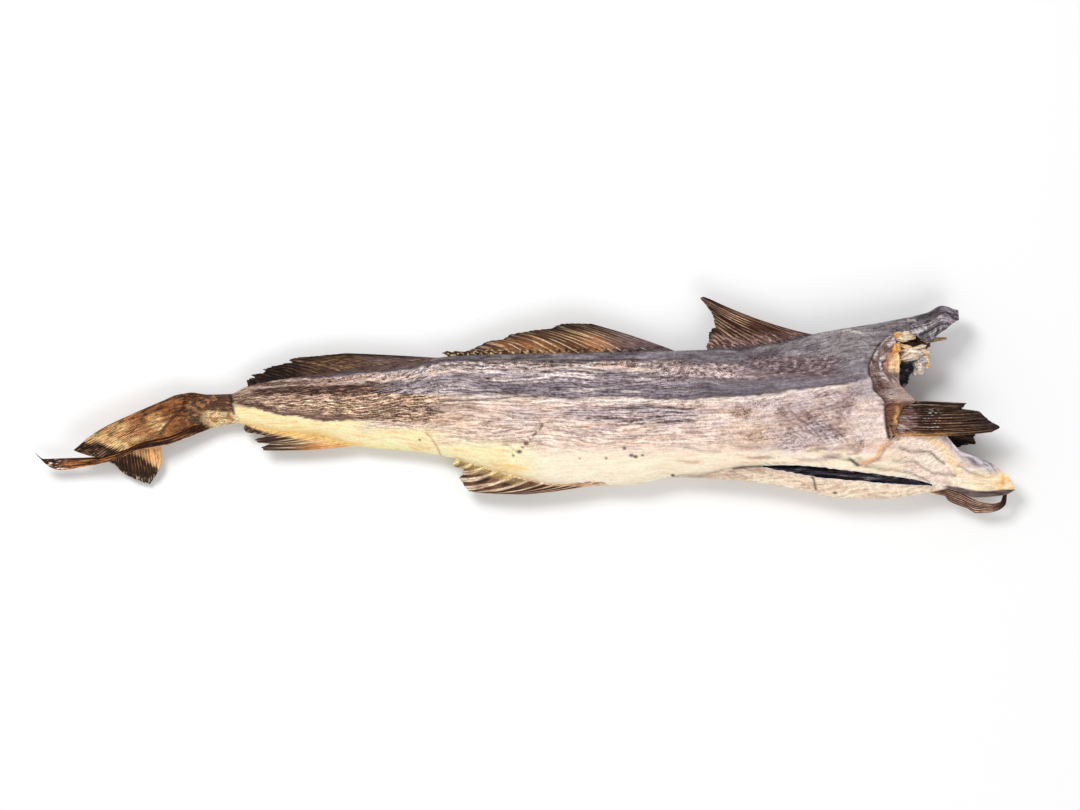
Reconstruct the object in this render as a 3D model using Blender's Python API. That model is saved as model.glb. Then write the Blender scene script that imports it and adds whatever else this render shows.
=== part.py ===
"""Stockfish: a whole, headless, air-dried cod, lying flat on its left side.

+X runs from the tail to the shoulder end, +Y from the belly to the back and +Z up.
The fish is one solid. Its trunk is a loft between a back line and a belly line, bulged
up on the near (right) side and down on the far (left) side. The belly cavity, the slit
into it and the flat spot that it rests on are cut away, and the fins, the tail, the
neck flesh and the second pectoral fin are fused on.

Lengths in the tables are in millimetres for a fish of NOMINAL_LENGTH. LENGTH sets the
real size, and everything follows it.
"""

import math

import bmesh
import bpy
import numpy as np

LENGTH = 0.706              # tail tip to throat tip, metres
NOMINAL_LENGTH = 706.0      # the same length in the tables' millimetres
UNIT = LENGTH / NOMINAL_LENGTH

WALL = 3.6                  # wall of the belly cavity
FIN_ROOT = 2.6              # thickness of a fin at its root
FIN_TIP = 1.5               # and along its ragged edge
SINK = 3.5                  # how far a fin's root is set into the trunk

NAPE_SHARE = 0.081          # share of the girth, from the back, that runs on as the nape
THROAT_SHARE = 0.665        # share of the girth above the throat flap
LEAN_START = 205.0          # x where the trunk's columns start to lean towards the collar's edge
STUB = 262.0                # x where the flank ends at the collar
NAPE_END = 312.5            # x where the nape and the throat flap end
THROAT_END = 353.5
NAPE_FREE = 266.0           # x from which the nape is a flap with nothing under it
GROUND_REACH = 400.0        # half length and half width of the block that cuts the flat spot
GROUND_DEPTH = 30.0
SHARP_ANGLE = 50.0          # degrees between faces, from which an edge is shaded as sharp

# Back line and belly line of the trunk: (x, y).
BACK = (
    (-256, 4.5), (-240, 9), (-228, 7.6), (-212, 8), (-200, 13.5), (-170, 19.5),
    (-140, 24), (-80, 32), (-40, 36), (60, 38), (150, 40.5), (180, 44), (213, 52),
    (260, 60), (290, 66.5), (301, 71.6), (313, 68.5), (354, 68),
)
BELLY = (
    (-256, -27), (-245, -23.5), (-225, -16.5), (-208, -13.6), (-180, -19), (-150, -22),
    (-115, -30.5), (-80, -33.5), (-48, -39), (-25, -46), (0, -53), (25, -57.5),
    (63, -58), (80, -57.3), (107, -52), (155, -54.5), (195, -60.5), (230, -67.2),
    (260, -67.5), (294, -62.5), (306, -60.5), (325, -66.5), (346, -65), (354, -61),
)
# Bulge of the near side and of the far side from the middle plane, and its height.
NEAR_BULGE = (
    (-256, 2), (-240, 3.6), (-224, 5), (-212, 5.2), (-200, 6.6), (-150, 9.5), (-100, 12.5),
    (-50, 15.5), (0, 18), (60, 20), (130, 22.5), (200, 24.5), (250, 24), (285, 20),
    (320, 15.5), (354, 9),
)
FAR_BULGE = (
    (-256, 2), (-240, 3.4), (-224, 4.6), (-212, 4.8), (-200, 6), (-150, 8.5), (-100, 11.5),
    (-50, 14.5), (0, 17), (60, 19), (130, 21), (200, 22.5), (250, 22), (285, 17),
    (320, 12.5), (354, 7),
)
MIDDLE = (
    (-352, 17), (-300, 14), (-256, 13), (-200, 12.5), (-150, 13), (-100, 14), (-50, 15.2),
    (0, 16.6), (60, 18.2), (130, 20), (200, 21.5), (250, 21.5), (285, 20.5), (320, 19),
    (354, 18),
)
# Front ends: the collar edge as x against y, the nape's torn lower edge and the throat
# flap's free upper edge as y against x.
COLLAR_EDGE = (
    (-24, 263), (-15, 266.5), (-5, 269), (-1, 271.5), (2.5, 281), (9, 274.8), (16, 269.5),
    (36, 268.5), (50, 265),
)
NAPE_LOWER = (
    (265, 50), (276, 52), (286, 46.5), (292, 45), (297, 50.5), (303, 54.5), (307, 58), (312, 61),
)
THROAT_UPPER = (
    (263, -24), (269, -20.5), (285, -19), (301, -20.5), (308, -28), (313, -32.8),
    (320, -35.5), (333, -40.5), (344, -47.5), (350, -53.5), (353.5, -60),
)
# The slit into the belly: its upper and lower lip.
SLIT_UPPER = ((170, -43.2), (200, -43.5), (230, -46.8), (255, -49.8), (280, -53.2), (294, -57))
SLIT_LOWER = ((170, -43.8), (190, -47.5), (215, -51.8), (245, -54.3), (270, -56.4), (294, -57.8))
SLIT_START, SLIT_END = 171.0, 293.5
SLIT_CLEAR = 60.0           # height of the slit's cutter, above the flank
# The belly cavity: where it starts and its upper side.
CAVITY_START, CAVITY_END = 166.0, 362.0
CAVITY_TOP = ((166, -32), (200, -22), (250, -17.5), (362, -14))

# Long grooves and ridges of the flank: path, height (negative is a groove) and half width.
FLANK_RELIEF = (
    (((-190, 9), (-120, 11.5), (-60, 13), (20, 12.5), (90, 11), (160, 12), (235, 19)), -1.9, 4.2),
    (((-60, 27.5), (0, 30.6), (80, 31.8), (150, 31)), -1.0, 2.6),
    (((-205, 1), (-160, -6), (-130, -9.5)), -0.9, 2.8),
    (((50, 9), (80, -1), (110, 2), (150, -1)), 1.2, 3.6),
    (((-190, 13), (-120, 20), (-60, 27), (0, 22), (90, 23.5), (155, 22)), 0.9, 4.0),
    (((107, -51), (125, -50.5), (145, -46), (172, -43.5)), -1.6, 2.4),
    (((215, -36), (239, -43), (262, -46.5), (287, -53)), -1.4, 2.6),
    (((115, -30), (140, -33)), -0.8, 3.0),
    (((150, -30), (180, -37)), -0.9, 3.2),
    (((190, -5), (235, 3)), -1.6, 9.0),
    (((232, 54), (243, 51)), -0.8, 2.4),
    (((178, -41.5), (210, -42), (240, -45.5), (270, -49.5), (290, -54)), 1.3, 2.2),
)
# The collar bone under the skin, the dip of the skin's edge beside it, and throat folds.
COLLAR_RELIEF = (
    (((266, 46), (259, 36), (257, 26), (261, 14), (268, 3), (264, -8), (261, -20)), 2.6, 5.0),
    (((263, 50), (253, 43), (247, 33), (244, 23), (248, 12), (254, 3), (256, -10), (258, -22)),
     -1.6, 2.6),
    (((270, -30.5), (285, -33), (296, -38), (303, -42.5)), -1.3, 2.4),
    (((265, -40), (281, -41), (294, -49), (311, -51)), -1.5, 2.6),
    (((313, -44), (320, -49), (332, -51)), -1.1, 2.2),
    (((306, -27), (322, -38), (338, -46)), 1.2, 2.4),
)
# Lumps of dried flesh in the torn neck: name, centre, radii, turn and phase of the lobes.
LUMPS = (
    ("stump_core", (262, 33, 19), (17, 19, 12), 0.1, 0.4),
    ("stump_top", (273, 49.2, 31), (9, 3.8, 6), 0.03, 1.3),
    ("stump_recess", (278, 45, 21), (13, 6, 8), -0.1, 1.9),
    ("stump_gold", (265, 40.5, 34), (4.2, 4.6, 5), -0.3, 2.1),
    ("stump_edge", (267, 32, 33), (2.6, 8.5, 6), 0.12, 2.6),
    ("stump_shred_high", (280, 38.6, 29), (11.5, 3.4, 5), -0.08, 3.0),
    ("stump_shred_middle", (277.5, 34.6, 29), (9, 3.2, 5), 0.3, 3.7),
    ("stump_shred_end", (286.5, 35, 26), (4.6, 6.4, 6), 0.2, 0.9),
    ("stump_shred_low", (284, 28, 23), (5.2, 5.6, 6), 0.5, 4.2),
    ("stump_far", (262, 20, 12), (15, 17, 8), 0.2, 5.0),
)


def smooth_curve(points):
    """Return y(x) through the points by cubic pieces that never overshoot them."""
    x, y = np.array(points, float).T
    step = np.diff(x)
    rise = np.diff(y) / step
    slope = np.zeros(len(x))
    slope[0] = rise[0]
    slope[-1] = rise[-1]
    same = rise[:-1] * rise[1:] > 0
    inner = np.zeros(len(x) - 2)
    inner[same] = 2 * rise[:-1][same] * rise[1:][same] / (rise[:-1] + rise[1:])[same]
    slope[1:-1] = inner

    def value(at):
        at = np.clip(np.asarray(at, float), x[0], x[-1])
        k = np.clip(np.searchsorted(x, at, side="right") - 1, 0, len(step) - 1)
        t = (at - x[k]) / step[k]
        bend = t * t * (3 - 2 * t)
        pull = slope[k] * t * (1 - t) ** 2 - slope[k + 1] * t * t * (1 - t)
        return y[k] * (1 - bend) + y[k + 1] * bend + pull * step[k]

    return value


back_line = smooth_curve(BACK)
belly_line = smooth_curve(BELLY)
near_bulge = smooth_curve(NEAR_BULGE)
far_bulge = smooth_curve(FAR_BULGE)
middle = smooth_curve(MIDDLE)
collar_edge = smooth_curve(COLLAR_EDGE)


def along(path, shares):
    """Return points on a path through the given points, at shares 0 to 1 of its length."""
    path = np.array(path, float)
    run = np.concatenate(([0], np.cumsum(np.linalg.norm(np.diff(path, axis=0), axis=1))))
    return np.stack([smooth_curve(np.stack([run, c], 1))(shares * run[-1]) for c in path.T], -1)


def distance_to(x, y, path):
    """Return the distance in plan from each (x, y) to an open path."""
    nearest = np.full(np.shape(x), 1e9)
    for (ax, ay), (bx, by) in zip(path[:-1], path[1:]):
        lx, ly = bx - ax, by - ay
        share = np.clip(((x - ax) * lx + (y - ay) * ly) / (lx * lx + ly * ly), 0, 1)
        nearest = np.minimum(nearest, np.hypot(x - ax - share * lx, y - ay - share * ly))
    return nearest


def relief(x, y, features):
    """Return the summed height of grooves and ridges, each a bell across its path."""
    height = np.zeros(np.shape(x))
    for path, rise, half_width in features:
        height += rise * np.exp(-((distance_to(x, y, path) / half_width) ** 2))
    return height


def girth(x, y):
    """Return the half thickness, 0 to 1: full below the back and slack at the belly."""
    share = np.clip((back_line(x) - y) / (back_line(x) - belly_line(x)), 0, 1)
    return np.sin(math.pi * share ** 0.84) ** 0.58


def string_groove(x, y):
    """Return the dent of the hanging string round the root of the tail."""
    return 1.3 * np.exp(-(((x + 210 - 0.25 * y) / 2.6) ** 2))


def near_side(x, y):
    """Return the height of the near flank: its bulge, its long relief and a slow wave."""
    full = girth(x, y)
    wave = 0.5 * np.sin(0.09 * x + 0.05 * y) * np.sin(0.16 * y + 0.03 * x)
    detail = relief(x, y, FLANK_RELIEF) + relief(x, y, COLLAR_RELIEF) + wave
    bulge = (near_bulge(x) - string_groove(x, y)) * full
    return middle(x) + bulge + detail * np.minimum(1, 1.6 * full)


def far_side(x, y):
    """Return the height of the far flank, which the fish lies on."""
    full = girth(x, y)
    wave = 0.5 * np.sin(0.07 * x - 0.06 * y)
    return middle(x) - (far_bulge(x) - string_groove(x, y)) * full + wave * full


def new_piece(name, vertices, faces, material):
    """Make an object from points in nominal millimetres, with its faces turned outward."""
    mesh = bpy.data.meshes.new(name)
    mesh.from_pydata((np.asarray(vertices) * UNIT).tolist(), [], faces)
    mesh.materials.append(material)
    shape = bmesh.new()
    shape.from_mesh(mesh)
    bmesh.ops.triangulate(shape, faces=shape.faces)
    bmesh.ops.recalc_face_normals(shape, faces=shape.faces)
    if shape.calc_volume(signed=True) < 0:
        bmesh.ops.reverse_faces(shape, faces=shape.faces)
    shape.to_mesh(mesh)
    shape.free()
    piece = bpy.data.objects.new(name, mesh)
    bpy.context.scene.collection.objects.link(piece)
    return piece


def closed_sheet(name, upper, lower, cells, material):
    """Close two grids of points, one over the other, along the edge of the cells in use."""
    rows, columns = upper.shape[:2]
    number = np.arange(rows * columns).reshape(rows, columns)
    faces = []
    sides = {}
    for i in range(rows - 1):
        for j in range(columns - 1):
            if not cells[i, j]:
                continue
            loop = (number[i, j], number[i, j + 1], number[i + 1, j + 1], number[i + 1, j])
            faces.append([int(k) for k in loop])
            faces.append([int(k) + rows * columns for k in reversed(loop)])
            for start, end in zip(loop, loop[1:] + loop[:1]):
                sides[int(start), int(end)] = True
    for start, end in sides:
        if (end, start) not in sides:
            faces.append([end, start, start + rows * columns, end + rows * columns])
    points = np.concatenate([upper.reshape(-1, 3), lower.reshape(-1, 3)])
    used = sorted({k for face in faces for k in face})
    place = {old: new for new, old in enumerate(used)}
    return new_piece(name, points[used], [[place[k] for k in face] for face in faces], material)


def fused_rim(piece, gap=0.02):
    """Merge the points that the two sides of a sheet share along a sharp rim."""
    shape = bmesh.new()
    shape.from_mesh(piece.data)
    bmesh.ops.remove_doubles(shape, verts=shape.verts, dist=gap * UNIT)
    shape.to_mesh(piece.data)
    shape.free()


def make_trunk(material):
    """Loft the trunk with its nape and throat flap: rows run lengthwise, columns round."""
    columns = np.concatenate([
        np.linspace(-256, -222, 5)[:-1], np.linspace(-222, -198, 6)[:-1],
        np.linspace(-198, 200, 29)[:-1], np.linspace(200, STUB, 12),
    ])
    shares = np.array([
        0, 0.012, 0.04, NAPE_SHARE, 0.14, 0.21, 0.28, 0.35, 0.42, 0.49, 0.56, THROAT_SHARE,
        0.74, 0.81, 0.86, 0.905, 0.95, 0.985, 1,
    ])
    nape = int(np.flatnonzero(shares == NAPE_SHARE)[0])
    throat = int(np.flatnonzero(shares == THROAT_SHARE)[0])
    extra = 12
    steps = np.arange(1, extra + 1) / extra
    x = np.tile(columns, (len(shares), 1))
    share = np.tile(shares[:, None], (1, len(columns)))
    y = back_line(x) - share * (back_line(x) - belly_line(x))
    reach = np.clip((x - LEAN_START) / (STUB - LEAN_START), 0, 1)
    x = x + reach * reach * (3 - 2 * reach) * (collar_edge(y) - STUB)
    y = back_line(x) - share * (back_line(x) - belly_line(x))
    nape_lower = smooth_curve(NAPE_LOWER)
    throat_upper = smooth_curve(THROAT_UPPER)
    more_x = np.full((len(shares), extra), STUB)
    more_y = np.zeros((len(shares), extra))
    for row in range(len(shares)):
        if row <= nape:
            more_x[row] = x[row, -1] + steps * (NAPE_END - x[row, -1])
            part = shares[row] / NAPE_SHARE
            more_y[row] = back_line(more_x[row]) * (1 - part) + nape_lower(more_x[row]) * part
        elif row >= throat:
            more_x[row] = x[row, -1] + steps * (THROAT_END - x[row, -1])
            part = (shares[row] - THROAT_SHARE) / (1 - THROAT_SHARE)
            more_y[row] = throat_upper(more_x[row]) * (1 - part) + belly_line(more_x[row]) * part
    x = np.concatenate([x, more_x], 1)
    y = np.concatenate([y, more_y], 1)
    cells = np.ones((len(shares) - 1, x.shape[1] - 1), bool)
    cells[nape:throat, len(columns) - 1:] = False
    upper = np.stack([x, y, near_side(x, y)], -1)
    lower = np.stack([x, y, far_side(x, y)], -1)
    free = np.clip((x - NAPE_FREE) / (NAPE_END - NAPE_FREE), 0, 1) * (y > back_line(x) - 25)
    lower[..., 2] = lower[..., 2] * (1 - free) + middle(x) * free
    trunk = closed_sheet("stockfish", upper, lower, cells, material)
    fused_rim(trunk)
    return trunk


def make_cavity(material):
    """Make the cutter of the belly cavity, open at the neck under the throat flap."""
    columns = np.concatenate([
        np.linspace(CAVITY_START, 250, 10)[:-1], np.linspace(250, CAVITY_END, 14),
    ])
    share = np.array([0, 0.1, 0.28, 0.5, 0.72, 0.9, 1])[:, None]
    x = np.tile(columns, (len(share), 1))
    y = smooth_curve(CAVITY_TOP)(x) * (1 - share) + (belly_line(x) + WALL + 0.8) * share
    shut = np.clip((200 - x) / 40, 0, 1)
    roof = np.maximum(near_side(x, y) - WALL - 8 * shut, middle(x) + 0.8)
    floor = np.minimum(np.maximum(far_side(x, y) + WALL + 6 * shut, WALL), middle(x) - 0.8)
    upper = np.stack([x, y, roof], -1)
    lower = np.stack([x, y, floor], -1)
    cells = np.ones((len(share) - 1, len(columns) - 1), bool)
    return closed_sheet("cavity", upper, lower, cells, material)


def make_slit(material):
    """Make the cutter of the slit: the gap between its lips, from the cavity to above the flank."""
    x = np.tile(np.linspace(SLIT_START, SLIT_END, 22), (2, 1))
    lips = np.stack([smooth_curve(SLIT_UPPER)(x[0]), smooth_curve(SLIT_LOWER)(x[0]) - 0.5])
    upper = np.stack([x, lips, np.full(x.shape, SLIT_CLEAR)], -1)
    lower = np.stack([x, lips, middle(x)], -1)
    return closed_sheet("slit", upper, lower, np.ones((1, x.shape[1] - 1), bool), material)


def fin(name, base, edge, cells, material, base_height=None, edge_height=None,
        bow=(0.0, 0.0), folds=0.0, fold_depth=0.0, root=FIN_ROOT, rim=FIN_TIP):
    """Make a fin as a thin sheet ruled from its base line to its ragged edge.

    Both lines run from the rear of the fin to its front, and cells counts the cells along
    and out. bow bends the rear and the front rays in plan, folds counts the pleats along
    the fin, and the heights run along the lines, or follow the middle plane where they
    aren't given.
    """
    u = np.linspace(0, 1, cells[0] + 1)
    w = np.linspace(0, 1, cells[1] + 1)[:, None]
    start = along(base, u)
    end = along(edge, u)
    ray = end - start
    bend = (bow[0] * (1 - u) + bow[1] * u) * 4 * w * (1 - w)
    side = np.stack([-ray[:, 1], ray[:, 0]], -1)[None]
    plan = start[None] * (1 - w[..., None]) + end[None] * w[..., None] + bend[..., None] * side
    low = middle(start[:, 0]) if base_height is None else smooth_curve(base_height)(u)
    high = middle(start[:, 0]) if edge_height is None else smooth_curve(edge_height)(u)
    height = low[None] * (1 - w) + high[None] * w
    height = height + fold_depth * np.sin(2 * math.pi * folds * u)[None] * np.sqrt(w)
    half = 0.5 * (root * (1 - w) + rim * w) * np.ones((1, len(u)))
    upper = np.concatenate([plan, (height + half)[..., None]], -1)
    lower = np.concatenate([plan, (height - half)[..., None]], -1)
    return closed_sheet(name, upper, lower, np.ones(cells[::-1], bool), material)


def lump(name, centre, radii, turn, phase, material, rings=5, sides=9):
    """Make a knobbly lump: an ellipsoid along X whose radius wavers round and along it."""
    lat = np.linspace(0, math.pi, rings + 1)[1:-1, None]
    lon = np.linspace(0, 2 * math.pi, sides, endpoint=False)[None]
    round_it = 0.13 * np.sin(3 * lon + phase) * np.sin(lat)
    along_it = 0.09 * np.sin(4 * lat + phase + 2 * lon)
    size = 1 + round_it + along_it
    local = np.stack([
        size * np.cos(lat), size * np.sin(lat) * np.cos(lon), size * np.sin(lat) * np.sin(lon),
    ], -1)
    points = np.concatenate([local.reshape(-1, 3), [[1, 0, 0], [-1, 0, 0]]]) * np.array(radii)
    cos, sin = math.cos(turn), math.sin(turn)
    turned_x = points[:, 0] * cos - points[:, 1] * sin
    turned_y = points[:, 0] * sin + points[:, 1] * cos
    spun = np.stack([turned_x, turned_y, points[:, 2]], -1)
    front_pole = (rings - 1) * sides
    last_ring = (rings - 2) * sides
    faces = []
    for j in range(sides):
        k = (j + 1) % sides
        for i in range(rings - 2):
            faces.append([i * sides + j, i * sides + k, (i + 1) * sides + k, (i + 1) * sides + j])
        faces.append([front_pole, k, j])
        faces.append([front_pole + 1, last_ring + j, last_ring + k])
    return new_piece(name, spun + np.array(centre), faces, material)


def make_unpaired_fins(material):
    """Make the three dorsal fins and the two anal fins, rear to front."""
    return [
        fin("dorsal_third",
            ((-199, 13 - SINK), (-170, 19.5 - SINK), (-140, 23.5 - SINK), (-100, 28.5 - SINK),
             (-64, 33 - SINK)),
            ((-200, 15.5), (-201, 19), (-196.5, 20.5), (-190, 24.5), (-184, 27.6), (-172, 32),
             (-150, 35.6), (-128, 37.4)),
            (20, 2), material, bow=(-0.10, -0.035), folds=8, fold_depth=0.5),
        fin("dorsal_second",
            ((-52, 35 - SINK), (0, 37 - SINK), (60, 38 - SINK), (119, 38.5 - SINK)),
            ((-60, 37.5), (-50, 39), (-38, 40.5), (-30, 44.5), (-25, 46.3), (-16, 47.5),
             (-11, 51), (0, 53), (10, 54.6), (19, 55), (25, 58.7), (35, 59), (48, 58.7)),
            (24, 3), material, bow=(-0.11, -0.015), folds=11, fold_depth=0.7),
        fin("dorsal_first",
            ((134, 40 - SINK), (170, 42.5 - SINK), (190, 46.5 - SINK), (216, 52.6 - SINK)),
            ((131, 42), (133, 48), (132.5, 52), (135, 55), (137.5, 56), (136.5, 60), (134.5, 66),
             (132, 70), (129, 74), (126.5, 77), (128, 78), (134, 76.2)),
            (18, 4), material, bow=(0.0, 0.033), folds=6, fold_depth=0.8),
        fin("anal_rear",
            ((-201, -15.5 + SINK), (-150, -22 + SINK), (-113, -31 + SINK)),
            ((-202.5, -16.8), (-200.6, -19.6), (-187, -22.4), (-194.8, -25.4), (-193, -27),
             (-184.5, -28), (-190.4, -31), (-188, -32.7)),
            (20, 2), material, bow=(0.04, 0.028), folds=5, fold_depth=0.5),
        fin("anal_front",
            ((-47, -39.5 + SINK), (-10, -49.5 + SINK), (25, -57.5 + SINK), (66, -58 + SINK)),
            ((-52, -41), (-51, -44), (-44, -46.5), (-45, -50), (-47, -52), (-45, -56), (-40, -62),
             (-25, -63.8), (-2, -64.6)),
            (18, 3), material, bow=(0.12, 0.02), folds=6, fold_depth=0.6),
    ]


def make_tail(material):
    """Make the folded tail: upper lobe, the roll of the lower lobe over it and a hanging flap."""
    return [
        fin("tail_upper",
            ((-228, 6.6), (-240, 8.6), (-250, 7.4), (-260, 3.2), (-280, -5.4), (-300, -14.8),
             (-310, -20.8), (-324, -32.4)),
            ((-234, -19), (-256, -27.5), (-275, -29.5), (-290, -33.5), (-298, -36.2),
             (-306, -37.6), (-312, -36.7), (-322, -33.6)),
            (14, 5), material, base_height=((0, 14), (0.5, 17), (1, 22)),
            edge_height=((0, 13.5), (0.4, 18.5), (1, 22)), folds=2.5, fold_depth=0.8),
        fin("tail_lower",
            ((-226, -12.5), (-240, -15.8), (-256, -22.6), (-272, -26), (-289, -32.8),
             (-308, -37.4), (-333, -38.4), (-346, -38.8), (-352.3, -34.4)),
            ((-226, -16.8), (-240, -22.4), (-260, -29.4), (-279, -33), (-292, -38.5),
             (-306, -42.5), (-322, -45.5), (-335, -47), (-342, -44.8), (-350, -37.2)),
            (18, 2), material,
            base_height=((0, 13.5), (0.12, 16.5), (0.5, 22.5), (0.68, 17), (0.85, 13), (1, 18)),
            edge_height=((0, 12.8), (0.12, 15), (0.5, 20.5), (0.68, 14), (0.85, 12), (1, 17)),
            root=3, rim=2.2),
        fin("tail_flap",
            ((-262.3, -24), (-272, -26.5), (-285, -29.5), (-301, -35)),
            ((-261.4, -43), (-263.5, -47), (-268, -54), (-271, -57.6), (-275, -56.5), (-285, -52),
             (-291.5, -48), (-295, -43.5), (-300, -41)),
            (12, 4), material, base_height=((0, 17), (1, 20)),
            edge_height=((0, 9), (0.5, 5), (1, 11)), folds=2.5, fold_depth=0.7),
    ]


def make_paired_fins(material):
    """Make both pectoral fins, which point past the throat, and the pelvic fin under it."""
    return [
        fin("pectoral_near",
            ((262, 3.6), (261, -8), (262, -21.5)),
            ((318, 1.4), (314.5, -2.2), (326, -4.5), (330, -7.5), (335, -12), (341, -16),
             (335, -19.5)),
            (12, 7), material, base_height=((0, 40), (0.5, 42.5), (1, 41)),
            edge_height=((0, 35), (0.5, 34), (1, 36)), bow=(0.004, -0.024), folds=3, fold_depth=0.7,
            root=4.5, rim=1.6),
        fin("pectoral_far",
            ((258, 2), (258, -24)),
            ((318, -12), (326, -20.5), (326.5, -28), (320, -29), (313, -31)),
            (8, 6), material, base_height=((0, 6), (1, 5)), edge_height=((0, 11), (1, 9)),
            folds=2, fold_depth=0.6, root=4, rim=1.6),
        fin("pelvic",
            ((288, -58), (303, -59.8), (312, -62), (323, -67.2), (330, -70), (338, -71),
             (343.4, -69.6), (345, -64.6)),
            ((286, -60.5), (298, -64.5), (303, -65.5), (306, -69), (320, -75), (326, -78),
             (333, -78), (342, -76), (347.4, -71), (348, -64.6)),
            (18, 2), material, base_height=((0, 19), (0.7, 15), (1, 17)),
            edge_height=((0, 18), (0.7, 13), (1, 16)), root=3, rim=2),
    ]


def make_neck(flesh, lining):
    """Make the torn stump of the neck: lumps of dried flesh, a shred and a scrap of membrane."""
    lumps = [lump(*row, flesh) for row in LUMPS]
    return lumps + [
        fin("nape_shred", ((284, 49), (286, 43.6)), ((304.5, 48.6), (304, 47)), (2, 3), flesh,
            base_height=((0, 26), (1, 26)), edge_height=((0, 25), (1, 25))),
        fin("membrane", ((264, 31), (264, 12)),
            ((280, 31), (280.6, 25), (277.6, 21), (276.6, 16.5), (272.6, 12.6)), (6, 3), lining,
            base_height=((0, 34), (1, 33)), edge_height=((0, 30), (1, 28)), folds=1.5,
            fold_depth=1.4),
    ]


def make_gill_hollow(material):
    """Make the cutter of the hollow behind the gill opening, between the two collar bones."""
    return lump("gill_hollow", (277, 0, 20.5), (20, 15, 12), 0.0, 2.6, material)


def make_flat_spot(material):
    """Make the block below the ground, which flattens the side that the fish lies on."""
    ends = (-GROUND_REACH, GROUND_REACH)
    x, y = np.meshgrid(ends, ends)
    upper = np.stack([x, y, np.zeros(x.shape)], -1)
    lower = upper - (0, 0, GROUND_DEPTH)
    return closed_sheet("ground", upper, lower, np.ones((1, 1), bool), material)


def make_material(name, colour, roughness):
    """Make a plain Principled material."""
    material = bpy.data.materials.new(name)
    material.use_nodes = True
    shader = material.node_tree.nodes["Principled BSDF"]
    shader.inputs["Base Color"].default_value = (*colour, 1)
    shader.inputs["Roughness"].default_value = roughness
    shader.inputs["Metallic"].default_value = 0.0
    return material


def boolean(target, operation, cutter=None, group=None, solver="EXACT"):
    """Add one Boolean modifier to the target."""
    step = target.modifiers.new(operation.lower(), "BOOLEAN")
    step.operation = operation
    step.solver = solver
    step.material_mode = "TRANSFER"
    if group is None:
        step.object = cutter
    else:
        step.operand_type = "COLLECTION"
        step.collection = group


def apply_modifiers(target):
    """Replace the target's mesh by its evaluated one."""
    bpy.context.view_layer.update()
    shaped = target.evaluated_get(bpy.context.evaluated_depsgraph_get())
    mesh = bpy.data.meshes.new_from_object(shaped)
    target.modifiers.clear()
    target.data = mesh


def remove(pieces):
    """Delete objects that were only needed to shape another."""
    for piece in pieces:
        bpy.data.objects.remove(piece)


def settle(target):
    """Put the origin at the middle of the base of the box round the fish."""
    points = np.array([corner.co for corner in target.data.vertices])
    low, high = points.min(0), points.max(0)
    points -= ((low[0] + high[0]) / 2, (low[1] + high[1]) / 2, low[2])
    target.data.vertices.foreach_set("co", points.astype(np.float32).ravel())
    target.data.update()


for leftover in list(bpy.data.objects):
    bpy.data.objects.remove(leftover)

skin = make_material("skin", (0.68, 0.57, 0.46), 0.55)
dried_fin = make_material("fin", (0.12, 0.065, 0.04), 0.5)
flesh = make_material("flesh", (0.72, 0.50, 0.26), 0.6)
lining = make_material("lining", (0.09, 0.08, 0.10), 0.45)

fish = make_trunk(skin)
cutters = [make_cavity(lining), make_slit(lining), make_gill_hollow(lining), make_flat_spot(skin)]
for cutter in cutters:
    boolean(fish, "DIFFERENCE", cutter=cutter)
apply_modifiers(fish)
remove(cutters)

added = bpy.data.collections.new("added")
bpy.context.scene.collection.children.link(added)
pieces = make_unpaired_fins(dried_fin) + make_tail(dried_fin) + make_paired_fins(dried_fin)
pieces += make_neck(flesh, lining)
for piece in pieces:
    bpy.context.scene.collection.objects.unlink(piece)
    added.objects.link(piece)
boolean(fish, "UNION", group=added)
apply_modifiers(fish)
remove(pieces)
bpy.data.collections.remove(added)

settle(fish)
fish.data.shade_smooth()
fish.data.set_sharp_from_angle(angle=math.radians(SHARP_ANGLE))
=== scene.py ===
"""Looks of the stockfish: a whole, headless, air-dried cod lying on its left side.

Every table is in millimetres, +X towards the shoulder end and +Y towards the back, and
place() puts it into the frame. The shown side is worked out as heights and colours over
that plan, and the fins, tail and torn flesh are surfaces of their own set into it.
"""

import math

import bmesh
import bpy
import numpy as np
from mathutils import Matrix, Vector


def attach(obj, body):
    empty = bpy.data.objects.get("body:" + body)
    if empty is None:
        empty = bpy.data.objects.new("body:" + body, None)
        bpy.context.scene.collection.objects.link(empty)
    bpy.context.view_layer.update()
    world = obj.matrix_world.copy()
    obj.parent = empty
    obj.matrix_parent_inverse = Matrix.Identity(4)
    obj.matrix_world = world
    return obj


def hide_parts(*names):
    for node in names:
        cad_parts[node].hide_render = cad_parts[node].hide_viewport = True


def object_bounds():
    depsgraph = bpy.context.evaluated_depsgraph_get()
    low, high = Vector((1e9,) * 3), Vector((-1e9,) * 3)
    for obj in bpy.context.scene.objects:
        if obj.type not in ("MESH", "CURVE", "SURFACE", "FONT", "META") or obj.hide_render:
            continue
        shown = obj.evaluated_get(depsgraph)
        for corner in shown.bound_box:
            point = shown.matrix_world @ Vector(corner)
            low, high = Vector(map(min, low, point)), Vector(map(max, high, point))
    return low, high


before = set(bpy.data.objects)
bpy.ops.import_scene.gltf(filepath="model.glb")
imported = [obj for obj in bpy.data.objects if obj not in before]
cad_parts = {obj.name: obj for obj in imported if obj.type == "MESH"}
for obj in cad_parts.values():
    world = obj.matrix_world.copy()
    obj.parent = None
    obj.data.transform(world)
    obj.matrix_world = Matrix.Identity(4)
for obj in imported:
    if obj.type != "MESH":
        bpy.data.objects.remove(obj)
cad_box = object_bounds()

# ----------
# Trunk: the dried body with its skin on, from the root of the tail to the torn neck,
# shrunken over the muscle, with the throat flap and the nape running on past the
# collar. The belly is slit and hollow. It is one skin, so it is one closed surface.

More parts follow.
